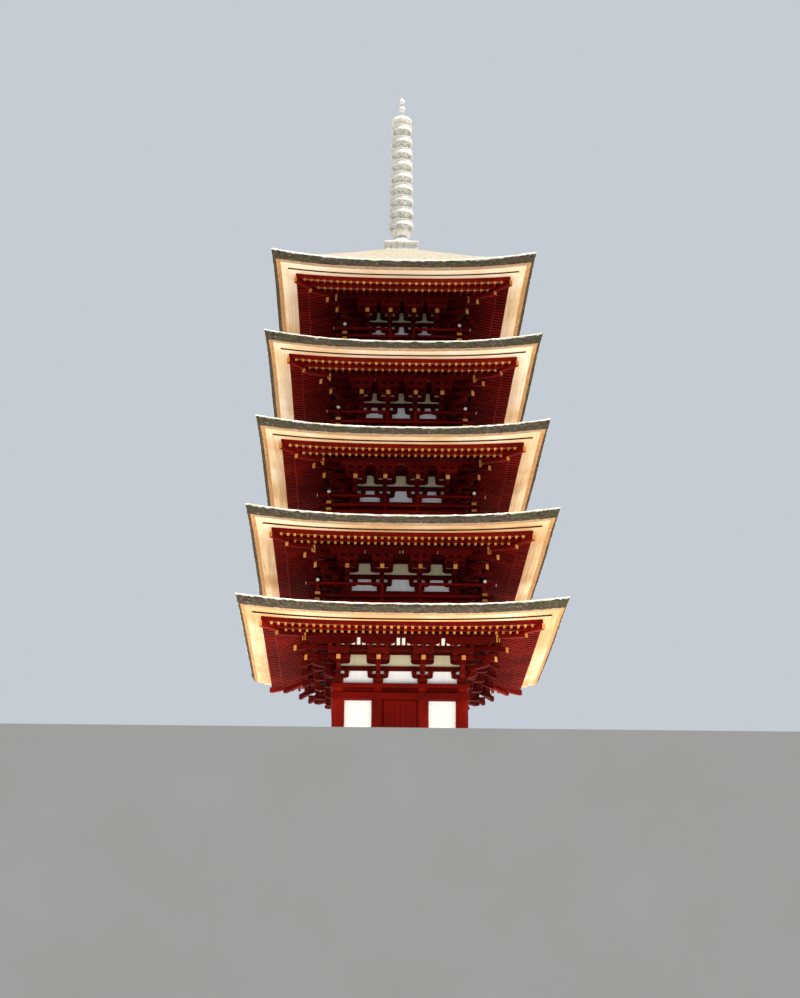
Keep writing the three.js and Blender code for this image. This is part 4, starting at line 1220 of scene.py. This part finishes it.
BASIN = [(0.352, 12.4555), (0.352, 12.480), (0.335, 12.490), (0.335, 12.610),
         (0.345, 12.616), (0.375, 12.632), (0.375, 12.664), (0.368, 12.670)]
BASIN_TOP = 12.6703
BOWL = [(0.300, 0.0), (0.300, 0.014), (0.288, 0.040), (0.268, 0.072), (0.245, 0.100),
        (0.218, 0.126), (0.190, 0.150), (0.163, 0.180), (0.140, 0.215), (0.118, 0.236),
        (0.105, 0.246), (0.110, 0.262), (0.136, 0.280), (0.156, 0.305), (0.168, 0.335)]
PETALS, PETAL_STEPS, PETAL_TIP = 12, 8, 0.012
RING_COUNT, RING_SPACING, RINGS_FOOT = 9, 0.300, 13.0553
RING_LOW, RING_HIGH, RING_TALL, RING_WALL = 0.280, 0.236, 0.120, 0.028
RIM_HIGH, RIM_PROUD = 0.016, 0.006
SPINDLE_RADIUS, SPINDLE_TOP, COLLAR_RADIUS = 0.055, 15.775, 0.085
SPOKES, SPOKE_HALF_WIDE, SPOKE_HALF_HIGH = 8, 0.010, 0.014
CANOPY_AND_JEWEL = [
    (0.060, 15.7753), (0.232, 15.790), (0.236, 15.800), (0.232, 15.815), (0.222, 15.850),
    (0.186, 15.895), (0.130, 15.930), (0.081, 15.950), (0.045, 15.962), (0.032, 15.980),
    (0.032, 16.070), (0.055, 16.092), (0.074, 16.120), (0.078, 16.150), (0.072, 16.182),
    (0.052, 16.208), (0.032, 16.230), (0.030, 16.286), (0.052, 16.300), (0.070, 16.328),
    (0.072, 16.345), (0.062, 16.372), (0.043, 16.396), (0.020, 16.425), (0.004, 16.449)]


def sun_glare_bronze(tree):
    """Bronze painted almost white as painted sunlight glare, a little darker in streaks 10 to 30
    mm across.
    """
    spot = add(tree, "TexCoord", out="Object")
    patchwork = add(tree, "TexNoise", {"Scale": 14.0, "Detail": 5.0}, {"Vector": spot})
    drawn = add(tree, "Mapping", {"Scale": (22.0, 22.0, 3.0)}, {"Vector": spot})
    runs = add(tree, "TexNoise", {"Scale": 1.0, "Detail": 3.0}, {"Vector": drawn})
    mixed = add(tree, "Math", {"operation": "MULTIPLY_ADD", 1: 0.6}, {0: runs, 2: patchwork})
    colour = add(tree, "ValToRGB", {"stops": [(0.5, "b3ac9b"), (0.7, "e0dbce"), (1.0, "f4f1e7")]},
                 {"Fac": mixed})
    bump = add(tree, "Bump", {"Strength": 0.2, "Distance": 0.003}, {"Height": mixed})
    return {"Roughness": 0.5, "Metallic": 0.12}, {"Base Color": colour, "Normal": bump}


SUN_GLARE_BRONZE = new_material("sun_glare_bronze", sun_glare_bronze)


def turned(outline, steps=48):
    """A body of radii and heights turned round the axis, from its foot to its top."""
    return plan_ring(outline, circle(steps), capped=True)


def lotus_petals():
    """Petals round the bowl's neck: a thin lens carried out and up along an arc, widest
    past its middle, s being the way along it from 0 to 1."""
    s = np.linspace(0, 1, PETAL_STEPS)
    out = 0.105 + 0.125 * s ** 0.9
    rise = BASIN_TOP + 0.255 + 0.110 * s ** 1.7
    slope = np.gradient(rise) / np.gradient(out)
    path = np.stack([out, 0 * s, rise], -1)
    normal = np.stack([-slope, 0 * s, np.ones(PETAL_STEPS)], -1)
    normal /= np.linalg.norm(normal, axis=1)[:, None]
    wide = 0.030 + 0.050 * np.sin(np.pi * s ** 0.8) ** 0.8
    wide[-1] = PETAL_TIP
    lens = np.array([(-1, 0), (-0.6, -0.10), (0, -0.16), (0.6, -0.10), (1, 0), (0, -0.02)])
    petal = carried(lens, path, AXES[1], normal, wide)
    turns = np.arange(PETALS) * 2 * np.pi / PETALS
    lower = copies(petal, [place(turn=turn) for turn in turns])
    return [lower, copies(lower, [place(z=0.008, turn=np.pi / PETALS)])]


def ring_tier(i):
    """One hoop with a moulded rim top and bottom, its spokes and the collar they spring from."""
    z = RINGS_FOOT + RING_SPACING * (i + 0.5)
    radius = RING_LOW + (RING_HIGH - RING_LOW) * i / (RING_COUNT - 1)
    low, high = z - RING_TALL / 2, z + RING_TALL / 2
    waist, rim = radius - RIM_PROUD, RIM_HIGH + RIM_PROUD
    hoop = plan_ring([
        (radius - RING_WALL, low), (radius, low), (radius, low + RIM_HIGH), (waist, low + rim),
        (waist, high - rim), (radius, high - RIM_HIGH), (radius, high),
        (radius - RING_WALL, high)], circle(48))
    spoke = block((-SPOKE_HALF_WIDE, 0.010 - radius, z - SPOKE_HALF_HIGH),
                  (SPOKE_HALF_WIDE, -SPINDLE_RADIUS, z + SPOKE_HALF_HIGH), 0.002, ALONG_Y)
    spokes = copies(spoke, [place(turn=k * 2 * np.pi / SPOKES) for k in range(SPOKES)])
    bore = SPINDLE_RADIUS + 0.0001
    collar = plan_ring([(bore, z - 0.05), (COLLAR_RADIUS, z - 0.04), (COLLAR_RADIUS, z + 0.04),
                        (bore, z + 0.05)], circle(32))
    return joined([hoop, spokes, collar])


bowl = turned([(radius, BASIN_TOP + z) for radius, z in BOWL])
spindle = post(0, 0, RINGS_FOOT - 0.04, SPINDLE_TOP, SPINDLE_RADIUS)
for name, castings, node in (
        ("dew_basin", [plan_ring(BASIN, SQUARE, capped=True)], "finial_basin"),
        ("bowl_and_lotus_petals", [bowl, *lotus_petals()], "finial_bowl_and_lotus"),
        ("nine_rings", [spindle, *map(ring_tier, range(RING_COUNT))], "finial_nine_rings"),
        ("canopy_and_jewel", [turned(CANOPY_AND_JEWEL)], "finial_canopy_and_jewel")):
    make_piece(name, castings, [SUN_GLARE_BRONZE], nodes=[node])


# Stage
#
# A pale terrace that ends in front of the tower, so that the view from below
# cuts off its foot. A high soft sun, light thrown up from the ground round the
# tower onto the eaves' undersides, and an even, slightly cool sky.

TERRACE_HALF, TERRACE_FRONT, TERRACE_DEPTH = 60.0, -8.4, 12.0
CAMERA_PLACE = (-0.857, -39.186, -6.853)
FOCAL_PIXELS, IMAGE_SIZE = 1961.8, (800, 998)
PRINCIPAL_POINT = (400, 499)
YAW, PITCH, ROLL = np.radians([1.26, 19.19, 0.31])
SENSOR = 36.0


def floor_paint(tree):
    """Plain pale studio floor with the faintest mottle."""
    spot = add(tree, "TexCoord", out="Object")
    mottle = add(tree, "TexNoise", {"Scale": 0.6, "Detail": 3.0}, {"Vector": spot})
    colour = add(tree, "ValToRGB", {"stops": [(0.3, "92908b"), (0.7, "969490")]}, {"Fac": mottle})
    return {"Roughness": 0.9}, {"Base Color": colour}


terrace_mesh = bpy.data.meshes.new("terrace")
terrace_box = block((-TERRACE_HALF, TERRACE_FRONT, -TERRACE_DEPTH),
                    (TERRACE_HALF, TERRACE_HALF, 0))
terrace_mesh.from_pydata(terrace_box["points"].tolist(), [],
                         terrace_box["loops"].reshape(-1, 4).tolist())
terrace_mesh.materials.append(new_material("studio_floor", floor_paint))
terrace = bpy.data.objects.new("terrace", terrace_mesh)
bpy.context.scene.collection.objects.link(terrace)


def aimed(start, target):
    """World matrix that stands at start and looks down its own -Z at target."""
    back = np.subtract(start, target)
    back = back / np.linalg.norm(back)
    right = np.cross(AXES[2], back) if abs(back[2]) < 1 else AXES[0]
    right = right / np.linalg.norm(right)
    move = np.eye(4)
    move[:3, :3] = np.stack([right, np.cross(back, right), back], -1)
    move[:3, 3] = start
    return Matrix(move.tolist())


def lamp(name, kind, start, target, settings):
    """Adds one light with its settings, aimed at a point."""
    light = bpy.data.lights.new(name, kind)
    for key, value in settings.items():
        setattr(light, key, value)
    holder = bpy.data.objects.new(name, light)
    holder.matrix_world = aimed(start, target)
    holder.visible_camera = False
    bpy.context.scene.collection.objects.link(holder)


lamp("high_light", "SUN", (10, -9, 40), (0, 0, 0),
     {"energy": 8.0, "angle": np.radians(12), "color": (1.0, 0.98, 0.94)})
lamp("ground_light", "AREA", (0, -2, 0.03), (0, -2, 9),
     {"energy": 4400.0, "shape": "RECTANGLE", "size": 30.0, "size_y": 26.0,
      "color": (1.0, 0.94, 0.84)})

world = bpy.data.worlds.new("soft_sky")
world.use_nodes = True
sky = next(node for node in world.node_tree.nodes if node.type == "BACKGROUND")
sky.inputs["Color"].default_value = (0.80, 0.86, 0.94, 1.0)
sky.inputs["Strength"].default_value = 0.70
bpy.context.scene.world = world
bpy.context.scene.view_settings.view_transform = "Standard"

forward = np.array([np.sin(YAW) * np.cos(PITCH), np.cos(YAW) * np.cos(PITCH), np.sin(PITCH)])
level = np.array([np.cos(YAW), -np.sin(YAW), 0.0])
upright = np.cross(level, forward)
right = np.cos(ROLL) * level + np.sin(ROLL) * upright
camera_up = np.cos(ROLL) * upright - np.sin(ROLL) * level
stand = np.eye(4)
stand[:3, :3] = np.stack([right, camera_up, -forward], -1)
stand[:3, 3] = CAMERA_PLACE
lens = bpy.data.cameras.new("photo_view")
lens.sensor_width = SENSOR
lens.lens = FOCAL_PIXELS * SENSOR / max(IMAGE_SIZE)
lens.shift_x = (IMAGE_SIZE[0] / 2 - PRINCIPAL_POINT[0]) / max(IMAGE_SIZE)
lens.shift_y = (PRINCIPAL_POINT[1] - IMAGE_SIZE[1] / 2) / max(IMAGE_SIZE)
lens.clip_end = 500.0
camera = bpy.data.objects.new("photo_view", lens)
camera.matrix_world = Matrix(stand.tolist())
bpy.context.scene.collection.objects.link(camera)
bpy.context.scene.camera = camera
